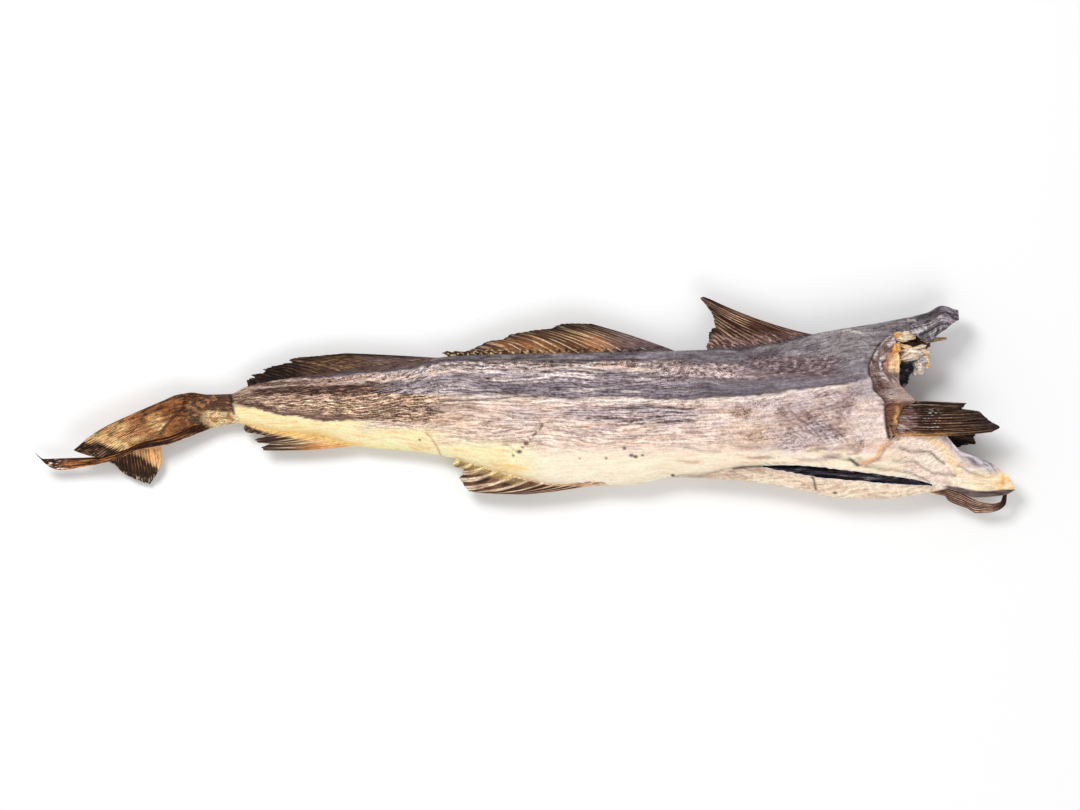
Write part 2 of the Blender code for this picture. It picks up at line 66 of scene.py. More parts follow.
TABLE_LENGTH = 706.0        # length of the fish in the tables, millimetres
TABLE_LEFT = -352.5         # x of the tail's tip in the tables
MM = (cad_box[1][0] - cad_box[0][0]) / TABLE_LENGTH
MID_Y = (cad_box[0][1] + cad_box[1][1]) / 2

BACK = (
    (-256, 4.5), (-240, 9), (-228, 7.6), (-212, 8), (-200, 13.5), (-170, 19.5),
    (-140, 24), (-80, 32), (-40, 36), (60, 38), (150, 40.5), (180, 44), (213, 52),
    (260, 60), (290, 66.5), (301, 71.6), (313, 68.5), (354, 68),
)
BELLY = (
    (-256, -27), (-245, -23.5), (-225, -16.5), (-208, -13.6), (-180, -19), (-150, -22),
    (-115, -30.5), (-80, -33.5), (-48, -39), (-25, -46), (0, -53), (25, -57.5),
    (63, -58), (80, -57.3), (107, -52), (155, -54.5), (195, -60.5), (230, -67.2),
    (260, -67.5), (294, -62.5), (306, -60.5), (325, -66.5), (346, -65), (354, -61),
)
NEAR_BULGE = (
    (-256, 2), (-240, 3.6), (-224, 5), (-212, 5.2), (-200, 6.6), (-150, 9.5), (-100, 12.5),
    (-50, 15.5), (0, 18), (60, 20), (130, 22.5), (200, 24.5), (250, 24), (285, 20),
    (320, 15.5), (354, 9),
)
FAR_BULGE = (
    (-256, 2), (-240, 3.4), (-224, 4.6), (-212, 4.8), (-200, 6), (-150, 8.5), (-100, 11.5),
    (-50, 14.5), (0, 17), (60, 19), (130, 21), (200, 22.5), (250, 22), (285, 17),
    (320, 12.5), (354, 7),
)
MIDDLE = (
    (-352, 17), (-300, 14), (-256, 13), (-200, 12.5), (-150, 13), (-100, 14), (-50, 15.2),
    (0, 16.6), (60, 18.2), (130, 20), (200, 21.5), (250, 21.5), (285, 20.5), (320, 19),
    (354, 18),
)
COLLAR_EDGE = (
    (-24, 263), (-15, 266.5), (-5, 269), (-1, 272), (1.4, 279.4), (2.6, 279.8), (9, 274),
    (16, 268.3), (36, 268.5), (50, 265),
)
SKIN_EDGE = (
    (265, 52), (258, 47), (254, 43), (251, 38), (249, 34), (247, 29), (246.5, 24), (248, 20),
    (249.5, 16), (250, 11), (253, 8), (256, 5), (258, 2), (258, -5), (258.5, -12), (259, -17),
    (260, -21), (261, -25),
)
NAPE_LOWER = ((265, 50), (276, 52), (286, 46.5), (292, 45), (297, 50.5), (303, 54.5), (307, 58), (312, 61))
NAPE_END = 312.5
THROAT_UPPER = (
    (263, -24), (269, -20.5), (285, -19), (301, -20.5), (308, -28), (313, -32.8), (320, -35.5), (333, -40.5),
    (344, -47.5), (350, -53.5), (353.5, -60),
)
THROAT_END = 353.5
SLIT_UPPER = ((170, -43.2), (200, -43.5), (230, -46.8), (255, -49.8), (280, -53.2), (294, -57))
SLIT_LOWER = ((170, -43.8), (190, -47.5), (215, -51.8), (245, -54.3), (270, -56.4), (294, -57.8))
NAPE_SHARE = 0.081          # share of the girth, from the back, that runs on as the nape
THROAT_SHARE = 0.665        # share of the girth from which the throat flap runs on
STUB = 262.0                # x at which the flank's columns end before they lean
LEAN_START = 205.0          # x from which the columns lean towards the collar
WALL = 3.2                  # wall of the belly cavity
CAVITY_TOP = ((166, -32), (200, -22), (250, -17.5), (362, -14))
SLIT_START, SLIT_END = 171.0, 293.5  # x of the slit's two ends
ABOVE_ALL = 60.0            # a height above the whole fish
NAPE_ROWS, FLANK_ROWS, THROAT_ROWS = 12, 72, 36
COLUMNS, FRONT_COLUMNS = 560, 100    # of the grid, up to the collar and past it
FAR_STRIDE = 4              # the far side has every fourth row
SKIN_CREAM = (246, 222, 206)         # colour of bare skin, under all the others

# Long grooves and ridges that the solid has too: path, height and half width.
FLANK_RELIEF = (
    (((-190, 9), (-120, 11.5), (-60, 13), (20, 12.5), (90, 11), (160, 12), (235, 19)), -1.9, 4.2),
    (((-60, 27.5), (0, 30.6), (80, 31.8), (150, 31)), -1.0, 2.6),
    (((-205, 1), (-160, -6), (-130, -9.5)), -0.9, 2.8),
    (((50, 9), (80, -1), (110, 2), (150, -1)), 1.2, 3.6),
    (((-190, 13), (-120, 20), (-60, 27), (0, 22), (90, 23.5), (155, 22)), 0.9, 4.0),
    (((107, -51), (125, -50.5), (145, -46), (172, -43.5)), -1.6, 2.4),
    (((215, -36), (239, -43), (262, -46.5), (287, -53)), -1.4, 2.6),
    (((115, -30), (140, -33)), -0.8, 3.0),
    (((150, -30), (180, -37)), -0.9, 3.2),
    (((190, -5), (235, 3)), -1.6, 9.0),
    (((232, 54), (243, 51)), -0.8, 2.4),
    (((266, 46), (259, 36), (257, 26), (261, 14), (268, 3), (264, -8), (261, -20)), 2.6, 5.0),
    (((270, -30.5), (285, -33), (296, -38), (303, -42.5)), -1.3, 2.4),
    (((265, -40), (281, -41), (294, -49), (311, -51)), -1.5, 2.6),
    (((313, -44), (320, -49), (332, -51)), -1.1, 2.2),
    (((306, -27), (322, -38), (338, -46)), 1.2, 2.4),
    (((178, -41.5), (210, -42), (240, -45.5), (270, -49.5), (290, -54)), 1.3, 2.2),
)


def smooth_curve(points):
    """Return y(x): cubic pieces through the points, with slopes that never overshoot them."""
    x, y = np.array(points, float).T
    step = np.diff(x)
    rise = np.diff(y) / step
    slope = np.concatenate((rise[:1], np.zeros(len(x) - 2), rise[-1:]))
    same = rise[:-1] * rise[1:] > 0
    slope[1:-1][same] = 2 * rise[:-1][same] * rise[1:][same] / (rise[:-1] + rise[1:])[same]

    def value(at):
        at = np.clip(np.asarray(at, float), x[0], x[-1])
        k = np.clip(np.searchsorted(x, at, side="right") - 1, 0, len(step) - 1)
        t = (at - x[k]) / step[k]
        bend = t * t * (3 - 2 * t)
        pull = slope[k] * t * (1 - t) ** 2 - slope[k + 1] * t * t * (1 - t)
        return y[k] * (1 - bend) + y[k + 1] * bend + pull * step[k]

    return value


def ease(value, low, high):
    """Return 0 below low, 1 above high and a smooth step between them."""
    t = np.clip((np.asarray(value, float) - low) / (high - low), 0, 1)
    return t * t * (3 - 2 * t)


def bell(offset, width):
    """Return a bell of the offset: 1 at none, 0.37 at the width and almost 0 past twice the width."""
    return np.exp(-((offset / width) ** 2))


def spot(x, y, middle_x, middle_y, half_length, half_depth):
    """Return an oval bell round a middle point."""
    return bell(np.hypot((x - middle_x) / half_length, (y - middle_y) / half_depth), 1)


def distance_to(x, y, path):
    """Return the distance in plan from each (x, y) to an open path of straight runs."""
    nearest = np.full(np.shape(x), 1e9)
    for (ax, ay), (bx, by) in zip(path[:-1], path[1:]):
        lx, ly = bx - ax, by - ay
        share = np.clip(((x - ax) * lx + (y - ay) * ly) / (lx * lx + ly * ly), 0, 1)
        nearest = np.minimum(nearest, np.hypot(x - ax - share * lx, y - ay - share * ly))
    return nearest


def patchy(x, y, seed):
    """Return value noise, -1 to 1: seeded random numbers at whole x and y, blended smoothly."""
    table = np.random.default_rng(seed).uniform(-1, 1, (256, 256))
    i, j = np.floor(x).astype(int), np.floor(y).astype(int)
    s, t = ease(x - i, 0, 1), ease(y - j, 0, 1)
    row = table[i & 255, j & 255] * (1 - s) + table[(i + 1) & 255, j & 255] * s
    next_row = table[i & 255, (j + 1) & 255] * (1 - s) + table[(i + 1) & 255, (j + 1) & 255] * s
    return row * (1 - t) + next_row * t


def cloudy(x, y, seed, layers=3):
    """Return a sum of value noises, each half as large and twice as fine as the last."""
    total = sum(patchy(x * 2 ** k, y * 2 ** k, seed + k) / 2 ** k for k in range(layers))
    return total / (2 - 2 ** (1 - layers))


def place(points):
    """Put points of the tables into the frame: scaled, with the tail's tip on the frame's box."""
    moved = np.array(points, float) * MM
    moved[..., 0] += cad_box[0][0] - TABLE_LEFT * MM
    moved[..., 1] += MID_Y
    return moved


back_line, belly_line = smooth_curve(BACK), smooth_curve(BELLY)
near_bulge, far_bulge, middle = smooth_curve(NEAR_BULGE), smooth_curve(FAR_BULGE), smooth_curve(MIDDLE)
collar_edge, skin_edge = smooth_curve(COLLAR_EDGE), smooth_curve([(y, x) for x, y in SKIN_EDGE[::-1]])


def girth(x, y):
    """Return the half thickness, 0 to 1, of the section: a skewed sine to the power 0.58."""
    share = np.clip((back_line(x) - y) / (back_line(x) - belly_line(x)), 0, 1)
    return np.sin(math.pi * share ** 0.84) ** 0.58


def string_groove(x, y):
    """Return the dent of the hanging string round the root of the tail, a bell along x."""
    return 1.3 * bell(x + 210 - 0.25 * y, 2.6)


def near_side(x, y):
    """Return the height of the near flank: middle plane, bulge, long relief and a slow wave."""
    full = girth(x, y)
    height = 0.5 * np.sin(0.09 * x + 0.05 * y) * np.sin(0.16 * y + 0.03 * x)
    for path, rise, half_width in FLANK_RELIEF:
        height += rise * bell(distance_to(x, y, path), half_width)
    return middle(x) + (near_bulge(x) - string_groove(x, y)) * full + height * np.minimum(1, 1.6 * full)


def far_side(x, y):
    """Return the height of the far flank, flattened where the fish lies on it."""
    full = girth(x, y)
    wave = 0.5 * np.sin(0.07 * x - 0.06 * y) * full
    return np.maximum(middle(x) - (far_bulge(x) - string_groove(x, y)) * full + wave, 0)


def past_skin_edge(x, y):
    """Return how far a point lies past the skin's edge, onto the bare collar, or -40 away from it."""
    nape = (x > 266) & (y > 43)
    return np.where((y < 52) & (y > -25) & ~nape, x - skin_edge(y), -40.0)


def fine_relief(x, y):
    """Return the small relief: lengthwise wrinkles, granular scales and the step at the skin's edge."""
    full = girth(x, y)
    share = np.clip((back_line(x) - y) / (back_line(x) - belly_line(x)), 0, 1)
    run, across = np.moveaxis(flank_flow(x, y), -1, 0)
    wrinkle = 1 - np.abs(cloudy(run / 34, across / 2.6, 21, 2)) * 2
    wrinkle_size = 0.34 - 0.22 * ease(x, -90, 20) - 0.10 * ease(share, 0.72, 0.9)
    grain = patchy(x / 1.7, y / 1.5, 31) * (0.05 + 0.10 * ease(x, 90, 200) * ease(share, 0.9, 0.7))
    fold = cloudy(run / 26, across / 8, 41) * 0.5
    past = past_skin_edge(x, y)
    step = np.where(past < 0, 0.9 * np.exp(past / 7), -0.9 * np.exp(-past / 5)) * (np.abs(past) < 39)
    pleat = 0.9 * np.sin(1.25 * past + 2.2 * patchy(x / 9, y / 7, 42)) * ease(past, 1, 4) * ease(y, 14, 20)
    return (wrinkle * wrinkle_size + grain + fold) * np.minimum(1, 2.5 * full) + step + pleat


# Creases, cracks and scars of the shown side: path, depth, half width, darkness and ink. The dark ink along
# the creases is partly painted shade in their hollows.
DARK_LINE_AND_SHADE, RED, ORANGE, PALE = (44, 32, 36), (170, 84, 60), (240, 170, 104), (248, 234, 224)
MARKS = (
    (((-60, 2.5), (-30, 3.8), (-10, 5.7), (0, 6.2), (10, 5.5)), 0.5, 0.8, 0.7, DARK_LINE_AND_SHADE),
    (((0, 24.4), (50, 24.5), (90, 20), (130, 18.8), (160, 18.5)), 0.3, 0.7, 0.55, DARK_LINE_AND_SHADE),
    (((-60, 28.5), (0, 30.5), (40, 31.5), (80, 32.5), (95, 31)), 0.4, 0.7, 0.6, DARK_LINE_AND_SHADE),
    (((13.8, -14.4), (11.6, -17.4)), 0.5, 0.7, 0.9, (62, 26, 22)),
    (((8.8, -20.2), (6.6, -22.4)), 0.5, 0.9, 1.0, (62, 26, 22)),
    (((150, -45.6), (158, -44.8), (165, -44.1), (173, -43.4), (178, -43.6)), 0.7, 0.9, 0.95, (40, 34, 38)),
    (((232.5, -39), (235, -40.5), (239, -44)), 0.6, 0.9, 0.95, (62, 44, 40)),
    (((7, -19), (13, -14), (8, -8), (-2, -5)), 0.3, 0.7, 0.5, (110, 84, 80)),
    (((-71, -20), (-67, -23), (-63, -29), (-61, -34), (-59, -37.5)), 0.3, 0.7, 0.5, RED),
    (((-30, -26), (-17, -26), (-5, -33)), 0.3, 0.8, 0.3, DARK_LINE_AND_SHADE),
    (((115, -30), (128, -33), (140, -33)), 0.5, 0.9, 0.4, DARK_LINE_AND_SHADE),
    (((110, -40), (125, -41)), 0.4, 0.8, 0.3, DARK_LINE_AND_SHADE),
    (((150, -29), (170, -31)), 0.4, 0.8, 0.35, DARK_LINE_AND_SHADE),
    (((160, -37), (180, -38)), 0.4, 0.8, 0.35, DARK_LINE_AND_SHADE),
    (((210, -31), (235, -31.5)), 0.5, 0.9, 0.4, DARK_LINE_AND_SHADE),
    (((107, -51), (125, -50.5), (145, -46), (172, -43.5)), 0.5, 0.9, 0.45, DARK_LINE_AND_SHADE),
    (((215, -36), (230, -39), (235, -40.5), (239, -43.5), (250, -45), (262, -46.5), (275, -48),
      (280, -49.5), (287, -53), (293, -57)), 0.6, 0.9, 0.55, DARK_LINE_AND_SHADE),
    (((270, -30.5), (277, -33), (285, -33), (291, -34), (296, -38), (302, -42.5)), 0.7, 0.9, 0.75, DARK_LINE_AND_SHADE),
    (((265, -40), (280, -41), (287, -45), (294, -49), (310, -51)), 0.5, 0.9, 0.5, DARK_LINE_AND_SHADE),
    (((313, -44), (320, -49), (330, -51)), 0.4, 0.9, 0.5, DARK_LINE_AND_SHADE),
    (((242, -41.8), (251.7, -38.2), (256, -29.5), (262, -25)), -0.5, 1.1, 0.8, ORANGE),
    # painted shadow beside the raised orange fold
    (((245, -43), (254, -39), (258.5, -30), (264, -26.5)), 0.5, 0.8, 0.5, DARK_LINE_AND_SHADE),
    (((206, -50.5), (208, -55.5), (210.4, -60.4)), 0.8, 0.9, 0.9, (82, 58, 48)),
    (((232, 54), (243, 51)), 0.3, 0.7, 0.6, PALE),
    (((276, 62), (281, 61)), 0.3, 0.7, 0.6, PALE),
    (((-212.2, 7.4), (-210.5, 3), (-209, -6.5)), 0.5, 1.0, 0.95, DARK_LINE_AND_SHADE),
    (((-208.6, 0), (-207.6, -4), (-206.4, -12)), -0.3, 1.1, 0.8, (255, 236, 196)),
)
# Dark spots of the flank: middle and radius.
SPOTS = (
    (-140, 17, 1.2), (-153, 7, 1.0), (-104, 8, 1.1), (-101, 18.5, 1.0), (-84, 20, 0.9), (-82, -3, 0.8),
    (-75, -25, 0.8), (-26, 19, 1.2), (72, -31, 1.0), (77, -36, 1.2), (80, -37, 1.3), (85, -36, 0.9),
    (59, -38, 0.8), (40, -38.6, 0.6), (107, -50.5, 1.1), (223.5, -63.2, 1.0), (1.4, -27.7, 1.5),
    (-3.3, -33.5, 1.5), (-7.7, -36.3, 0.8), (-0.9, -30.5, 0.8), (4.2, -25, 0.7),
)
# Blotches of the shoulder: middle, half length, half depth and darkness.
BLOTCHES = (
    (155, -5, 12, 5, 0.7), (172, 2, 9, 5, 0.6), (184, -2, 9, 9, 0.65), (204, -12, 14, 9, 0.75),
    (230, -3, 9, 7, 0.75), (240, 10, 8, 9, 0.8), (170, -22, 14, 6, 0.55), (215, 8, 16, 5, 0.55),
    (196, -28, 20, 5, 0.5), (238, -28, 12, 4, 0.4), (224, 5, 12, 6, 0.4), (120, 0, 12, 3, 0.35),
    (190, -16, 5, 8, 0.55), (222, -20, 10, 5, 0.5),
)


def linear(colour):
    """Return a colour given as 0 to 255 display values in the linear values that shaders use."""
    level = np.array(colour, float) / 255
    return np.where(level <= 0.04045, level / 12.92, ((level + 0.055) / 1.055) ** 2.4)


def mixed(colours, colour, amount):
    """Return an array of colours blended towards one colour by an amount at each point."""
    return colours + (linear(colour) - colours) * np.clip(amount, 0, 1)[..., None]


def between(y, low, high, soft):
    """Return 1 where y lies between two heights, fading out over soft at each."""
    return ease(y, low - soft, low + soft) * ease(y, high + soft, high - soft)


def lenses(x, y, seed, length, width, low=0.05, high=0.4):
    """Return long patches, 0 to 1: stretched noise between two levels."""
    return ease(cloudy(x / length, y / width, seed, 2), low, high)


def flank_flow(x, y):
    """Return the distances along and across the skin's fibres, which follow the back and the belly.

    Both run faster behind x = -60, where the skin's pattern is shorter and finer.
    """
    deep = back_line(x) - belly_line(x)
    depth = (back_line(x) - y) / deep
    chevron = 3.5 * bell(x - 8, 22) * np.sin((y + 4) / 11) * ease(y, 6, -8)
    sweep = 1.8 * patchy(x / 30, y / 26, 91) + 0.6 * patchy(x / 11, y / 16, 92)
    zigzag = 0.3 * patchy(x / 3.6, y / 16, 93) * (0.6 + 1.2 * ease(x, -40, -100))
    finer = 22 * (depth - 0.5) * ease(x, -60, -115)
    across = sweep + chevron + zigzag - depth * (30 + 0.5 * deep) - finer
    return np.stack([x + np.minimum(x + 60, 0), across], -1)


def flank_colours(x, y):
    """Return the skin's colour at each point, how speckled it is and how dark its fibre lines are."""
    wx = x + 2.5 * patchy(x / 9, y / 5, 51)
    wy = y + 1.0 * patchy(x / 16, y / 5, 52) + 0.5 * patchy(x / 3.5, y / 2, 53)
    run, across = np.moveaxis(flank_flow(x, y), -1, 0)
    fine = wy + 0.9 * patchy(run / 7, across / 1.2, 56)
    streak = cloudy(run / 12, across / 1.4, 54, 2)
    blotch = cloudy(x / 8, y / 6, 55, 3)
    colours = np.ones(x.shape + (3,)) * linear(SKIN_CREAM)
    speckle = np.full(x.shape, 0.34)
    fibre = 0.42 - 0.16 * ease(x, 90, 150)

    def paint(tone, amount):
        """Blend the colours towards a tone by an amount at each point."""
        colours[...] = mixed(colours, tone, amount)

    def strands(seed, length, width, low=0.05, high=0.4):
        """Return lenses that lie along the fibres."""
        return lenses(run, across, seed, length, width, low, high)

    # Flank: pinkish cream with tan, lilac and brown veins, yellow behind and cream along the belly.
    belly = ease(wy, -22, -38)
    seam_y = np.interp(wx, (-208, -184, -169, -153, -138, -90), (1.9, -3.2, -6.3, -8.6, -9.4, -10))
    yellow = np.maximum(ease(wx, 24, -26) * ease(wy, -21, -33), ease(wx, -35, -80) * ease(wy, -13, -22))
    yellow = np.maximum(yellow, ease(wx, -100, -125) * ease(wy, seam_y - 0.5, seam_y - 3))
    paint((226, 184, 156), 0.45 * strands(57, 15, 2.2) * ease(wy, -40, -20))
    paint((214, 192, 196), 0.5 * strands(58, 20, 3.5) * ease(wy, -32, -14) * ease(wx, -60, 0))
    paint((150, 116, 110), 0.4 * strands(80, 13, 1.1, 0.2, 0.5) * ease(wy, -36, -22))
    paint((236, 200, 196), 0.2 * belly * strands(97, 24, 3) * ease(wy, -42, -30) * ease(wx, 0, 40))
    paint((255, 241, 214), 0.9 * belly * ease(wy, -24, -42))
    paint((252, 222, 188), 0.3 * belly * strands(62, 16, 1.8) * ease(wx, 20, 90))
    paint((255, 241, 190), 0.96 * yellow)
    paint((246, 190, 128), 0.6 * yellow * strands(59, 16, 1.2, 0.15, 0.5))
    paint((255, 226, 150), 0.5 * yellow * strands(98, 22, 4, 0.0, 0.5) * ease(wx, -60, -110))
    paint((250, 208, 130), 0.6 * ease(wx, -105, -135) * ease(wy, belly_line(x) + 7, belly_line(x) + 1))
    paint((248, 206, 120), 0.75 * spot(wx, wy, -12, -46, 14, 4) * (0.7 + 0.6 * streak))
    smooth = np.maximum(belly, yellow)
    speckle, fibre = speckle * (1 - 0.75 * smooth), fibre * (1 - 0.84 * smooth)
    rust = between(wy, -46, -28, 5) * ease(wx, 80, 140)
    paint((230, 180, 144), 0.55 * rust * strands(60, 24, 1.8, 0.1, 0.6))
    lilac = between(wy, -43, -27, 4) * ease(wx, 150, 185) * ease(wx, 262, 245)
    paint((178, 150, 150), 0.65 * lilac * strands(99, 20, 2.4))
    vein = between(wy, -44, -28, 3) * ease(wx, 140, 175) * ease(wx, 262, 245)
    paint((150, 112, 98), 0.55 * vein * strands(25, 14, 1.0, 0.15, 0.45))

    # Brownish grey blotches of the shoulder under a pinkish bloom.
    for cx, cy, rx, ry, amount in BLOTCHES:
        near = np.hypot((wx - cx) / rx, (wy - cy) / ry) + 0.6 * blotch
        paint((146, 114, 108), amount * ease(near, 1.3, 0.3))
        speckle = np.maximum(speckle, 0.62 * ease(near, 1.3, 0.6))
    shoulder = ease(wx, 150, 185) * between(wy, -24, 22, 6)
    paint((168, 146, 147), 0.48 * shoulder * ease(wx, 240, 224))
    bloom = lenses(wx + 0.6 * wy, wy - 0.4 * wx, 63, 12, 6, 0.0, 0.4)
    paint((232, 216, 219), 0.5 * bloom * ease(wx, 150, 175) * between(wy, -34, 24, 6))
    diagonal = lenses(wx - 0.8 * wy, wy + 0.9 * wx, 96, 10, 1.5, 0.05, 0.35)
    paint((112, 86, 84), 0.55 * diagonal * between(wx, 184, 240, 8) * between(wy, -27, 0, 6))
    paint((230, 210, 203), 0.6 * between(wx, 232, 262, 6) * between(wy, -24, -4, 4))
    paint((176, 160, 168), 0.7 * ease(wx, 228, 240) * between(wy, 4, 20, 3))
    fibre = fibre * (1 - 0.6 * ease(wx, 222, 238) * ease(wy, -34, -26))
    paint((212, 172, 134), 0.5 * spot(wx, wy, 168, -20, 18, 8))
    paint((234, 194, 150), 0.5 * spot(wx, wy, -42, -13, 20, 6))
    paint((238, 222, 218), 0.5 * spot(wx, wy, 2, -10, 14, 6))
    paint((150, 138, 146), 0.3 * spot(wx, wy, 150, 23, 24, 5))

    # The grey patch along the middle, in fine parallel lines, and the duller skin behind it.
    patch = between(fine, np.interp(wx, (20, 60, 105, 130), (-10, -12, -15, -11)),
                    np.interp(wx, (20, 60, 90, 130), (-2.5, -1.5, -0.5, -4)), 2.0)
    patch = patch * ease(wx, 8, 34) * ease(wx, 138, 116)
    paint((176, 158, 162), patch * (0.78 + 0.2 * strands(64, 14, 1.4)))
    paint((230, 208, 202), 0.6 * patch * strands(81, 14, 0.9, 0.15, 0.4))
    top = bell(fine - np.interp(wx, (60, 90, 130), (-1.8, -1.0, -4.5)), 1.0) * between(wx, 62, 118, 8)
    paint((84, 74, 82), 0.7 * top)
    speckle, fibre = np.maximum(speckle, 0.5 * patch), np.maximum(fibre, 0.72 * patch)
    dusk = between(fine, -20, np.interp(wx, (-60, 20), (-5, 1)), 3) * between(wx, -62, 24, 8)
    paint((226, 202, 192), 0.3 * dusk * (0.7 + 0.6 * blotch))
    fibre = np.maximum(fibre, 0.46 * dusk)

    # Tan, crinkled rear flank over a brown seam that borders the yellow belly.
    tan = between(fine, np.interp(wx, (-205, -160, -130, -60, 0), (0, -6, -9, -14, -6)),
                  np.interp(wx, (-205, -60, 0), (8, 12, 6)), 1.6) * ease(wx, -28, -84)
    paint((214, 172, 142), 0.9 * tan)
    paint((255, 224, 190), 0.75 * tan * strands(65, 10, 1.4))
    paint((88, 54, 44), 0.6 * tan * strands(66, 14, 0.9))
    paint((244, 204, 186), 0.7 * tan * between(wy, 1.5, 7, 1.5) * strands(95, 16, 1.2))
    paint((248, 212, 158), 0.6 * spot(wx, wy, -128, 0, 5, 5) * (0.7 + 0.6 * streak))
    speckle, fibre = np.maximum(speckle, 0.75 * tan), np.maximum(fibre, 0.95 * tan)
    seam = ease(fine, seam_y - 2.2, seam_y - 0.8) * ease(fine, seam_y + 4.0, seam_y)
    paint((98, 64, 50), 0.9 * seam * ease(wx, -78, -140) * ease(wx, -209, -203))
    wedge = between(fine, np.interp(wx, (-110, -60, -25), (-4, -5, 0)),
                    np.interp(wx, (-110, -60, -25), (0, 1, 2.5)), 1)
    paint((140, 116, 112), 0.6 * wedge * ease(wx, -18, -50) * ease(wx, -120, -75))

    # The dark band along the side, streaked with pale lenses, and crisp along its lower edge.
    low = np.interp(wx, (-200, -150, -100, -60, 0, 25, 100, 120, 160, 200, 232, 246),
                    (7, 7.4, 8.0, 7.5, 7.5, 5, 5, 3.5, 7, 11, 15.5, 20))
    high = np.interp(wx, (-200, -150, -100, -60, 0, 90, 160, 200, 245),
                     (12.5, 14.6, 17.5, 22.5, 27, 24.5, 19, 22, 31))
    band = between(fine, low, high, 1.0) * ease(wx, -206, -194)
    core = bell(fine - np.interp(wx, (-60, 20, 90, 160), (12.0, 12.5, 9.5, 11)), 3.8)
    rear, front = ease(wx, -84, -122), ease(wx, 90, 150)
    grey_band = band * (1 - rear)
    paint((166, 152, 158), 0.95 * grey_band)
    paint((112, 101, 113), (0.65 + 0.15 * ease(wx, 40, 100)) * grey_band * core)
    paint((112, 105, 113), 0.85 * grey_band * front)
    bright = (1 - 0.4 * core) * (1 - 0.9 * front)
    paint((238, 220, 216), 0.85 * grey_band * strands(67, 20, 1.5, 0.05, 0.3) * bright)
    paint((88, 79, 89), 0.4 * grey_band * strands(82, 22, 2.0, 0.1, 0.5))
    paint((158, 150, 158), 0.45 * grey_band * front * strands(83, 20, 2.6))
    paint((88, 61, 53), 0.96 * band * rear)
    paint((200, 158, 136), 0.75 * band * rear * strands(68, 12, 1.0))
    paint((58, 38, 36), 0.7 * band * rear * strands(48, 16, 1.0))
    speckle = np.maximum(speckle, band * (0.6 - 0.3 * front))
    fibre = np.maximum(fibre, band * (0.56 - 0.26 * front + 0.28 * rear))
    edge = (0.6 * ease(wx, -84, -30) + 0.4 * ease(wx, 40, 90)) * ease(wx, 243, 236)
    paint((62, 54, 64), 0.8 * edge * bell(wy - low - 0.4, 0.9))
    lip = bell(wy - low + 2.2, 1.5) * ease(wx, -80, 20) * ease(wx, 240, 225)
    paint((250, 234, 224), 0.75 * lip * (1 - 0.45 * between(wx, 98, 146, 10)))

    # Pale streak above it, flecked with rust, and the browned skin under the third fin.
    pale_low = np.interp(wx, (-200, -150, -90, -60, 0, 90, 155), (13.2, 15.6, 20.4, 24.4, 27.0, 27.2, 24))
    pale_high = np.interp(wx, (-200, -150, -90, -60, 0, 90, 155), (15.8, 19.2, 24.8, 29.6, 31.8, 31.8, 30))
    pale = between(fine, pale_low, pale_high, 0.8) * ease(wx, 172, 140)
    ridge = ease(wy, pale_high - 0.2, pale_high + 1.2) * ease(wx, 175, 130)
    paint((84, 60, 56), 0.95 * ridge)
    paint((128, 104, 104), 0.7 * ridge * ease(wx, -110, -84) * strands(84, 10, 1.6))
    paint((100, 98, 114), 0.8 * bell(wy - pale_high - 0.9, 0.9) * between(wx, -150, -40, 10))
    paint((204, 180, 174), 0.92 * pale)
    paint((102, 80, 80), 0.75 * pale * strands(85, 7, 1.1, 0.05, 0.35))
    paint((250, 240, 240), 0.7 * pale * strands(40, 6, 1.0, 0.1, 0.4))
    paint((198, 134, 98), 0.6 * pale * strands(69, 7, 1.3, 0.25, 0.5) * ease(wx, -20, 30))
    paint((192, 156, 134), 0.75 * pale * rear)
    paint((118, 90, 78), 0.85 * pale * ease(wx, -126, -166))
    mottle = between(wy, 18.5, 30, 2) * ease(wx, 78, 100) * ease(wx, 176, 150)
    paint((184, 164, 164), 0.65 * mottle)
    paint((112, 88, 92), 0.75 * mottle * strands(72, 4, 1.5, 0.0, 0.4))
    speckle = np.maximum(speckle, 0.9 * np.maximum(pale, mottle))
    fibre = np.maximum(fibre, 0.6 * pale)

    tailward = ease(wx, -186, -203) * ease(wx, -208.5, -206) * ease(wy, seam_y + 0.5, seam_y + 2)
    paint((112, 84, 68), 0.75 * tailward * (0.6 + 0.8 * strands(29, 7, 1.0)))
    paint((226, 190, 164), 0.7 * tailward * strands(26, 7, 1.0))

    # The grey back, from over the pale streak to the nape, purplish over the shoulder.
    back_low = np.interp(wx, (-60, 95, 150, 165, 200, 215, 245, 262),
                         (32.0, 32.5, 30.5, 24, 21.5, 24, 30, 36))
    back = ease(fine, back_low - 1.0, back_low + 1.0) * ease(wx, -75, -45)
    paint((122, 115, 121), 0.96 * back)
    paint((158, 150, 154), 0.65 * back * strands(73, 12, 2.4))
    paint((84, 76, 84), 0.65 * back * strands(74, 16, 1.4))
    paint((158, 150, 150), 0.5 * back * between(wx, 212, 256, 12) * ease(wy, 30, 42))
    purple = between(wy, 19, 35, 3) * ease(wx, 150, 172) * ease(wx, 236, 214)
    paint((122, 98, 102), 0.75 * purple)
    paint((206, 186, 184), 0.6 * purple * lenses(wx, wy, 75, 3.0, 1.5, 0.15, 0.5))
    paint((84, 62, 68), 0.7 * purple * lenses(wx, wy, 86, 5, 2.0, 0.1, 0.4))
    paint((66, 54, 62), 0.75 * bell(fine - back_low + 0.4, 1.0) * between(wx, -60, 150, 6))
    nape = back * ease(wx, 262, 285)
    paint((92, 84, 88), 0.6 * nape)
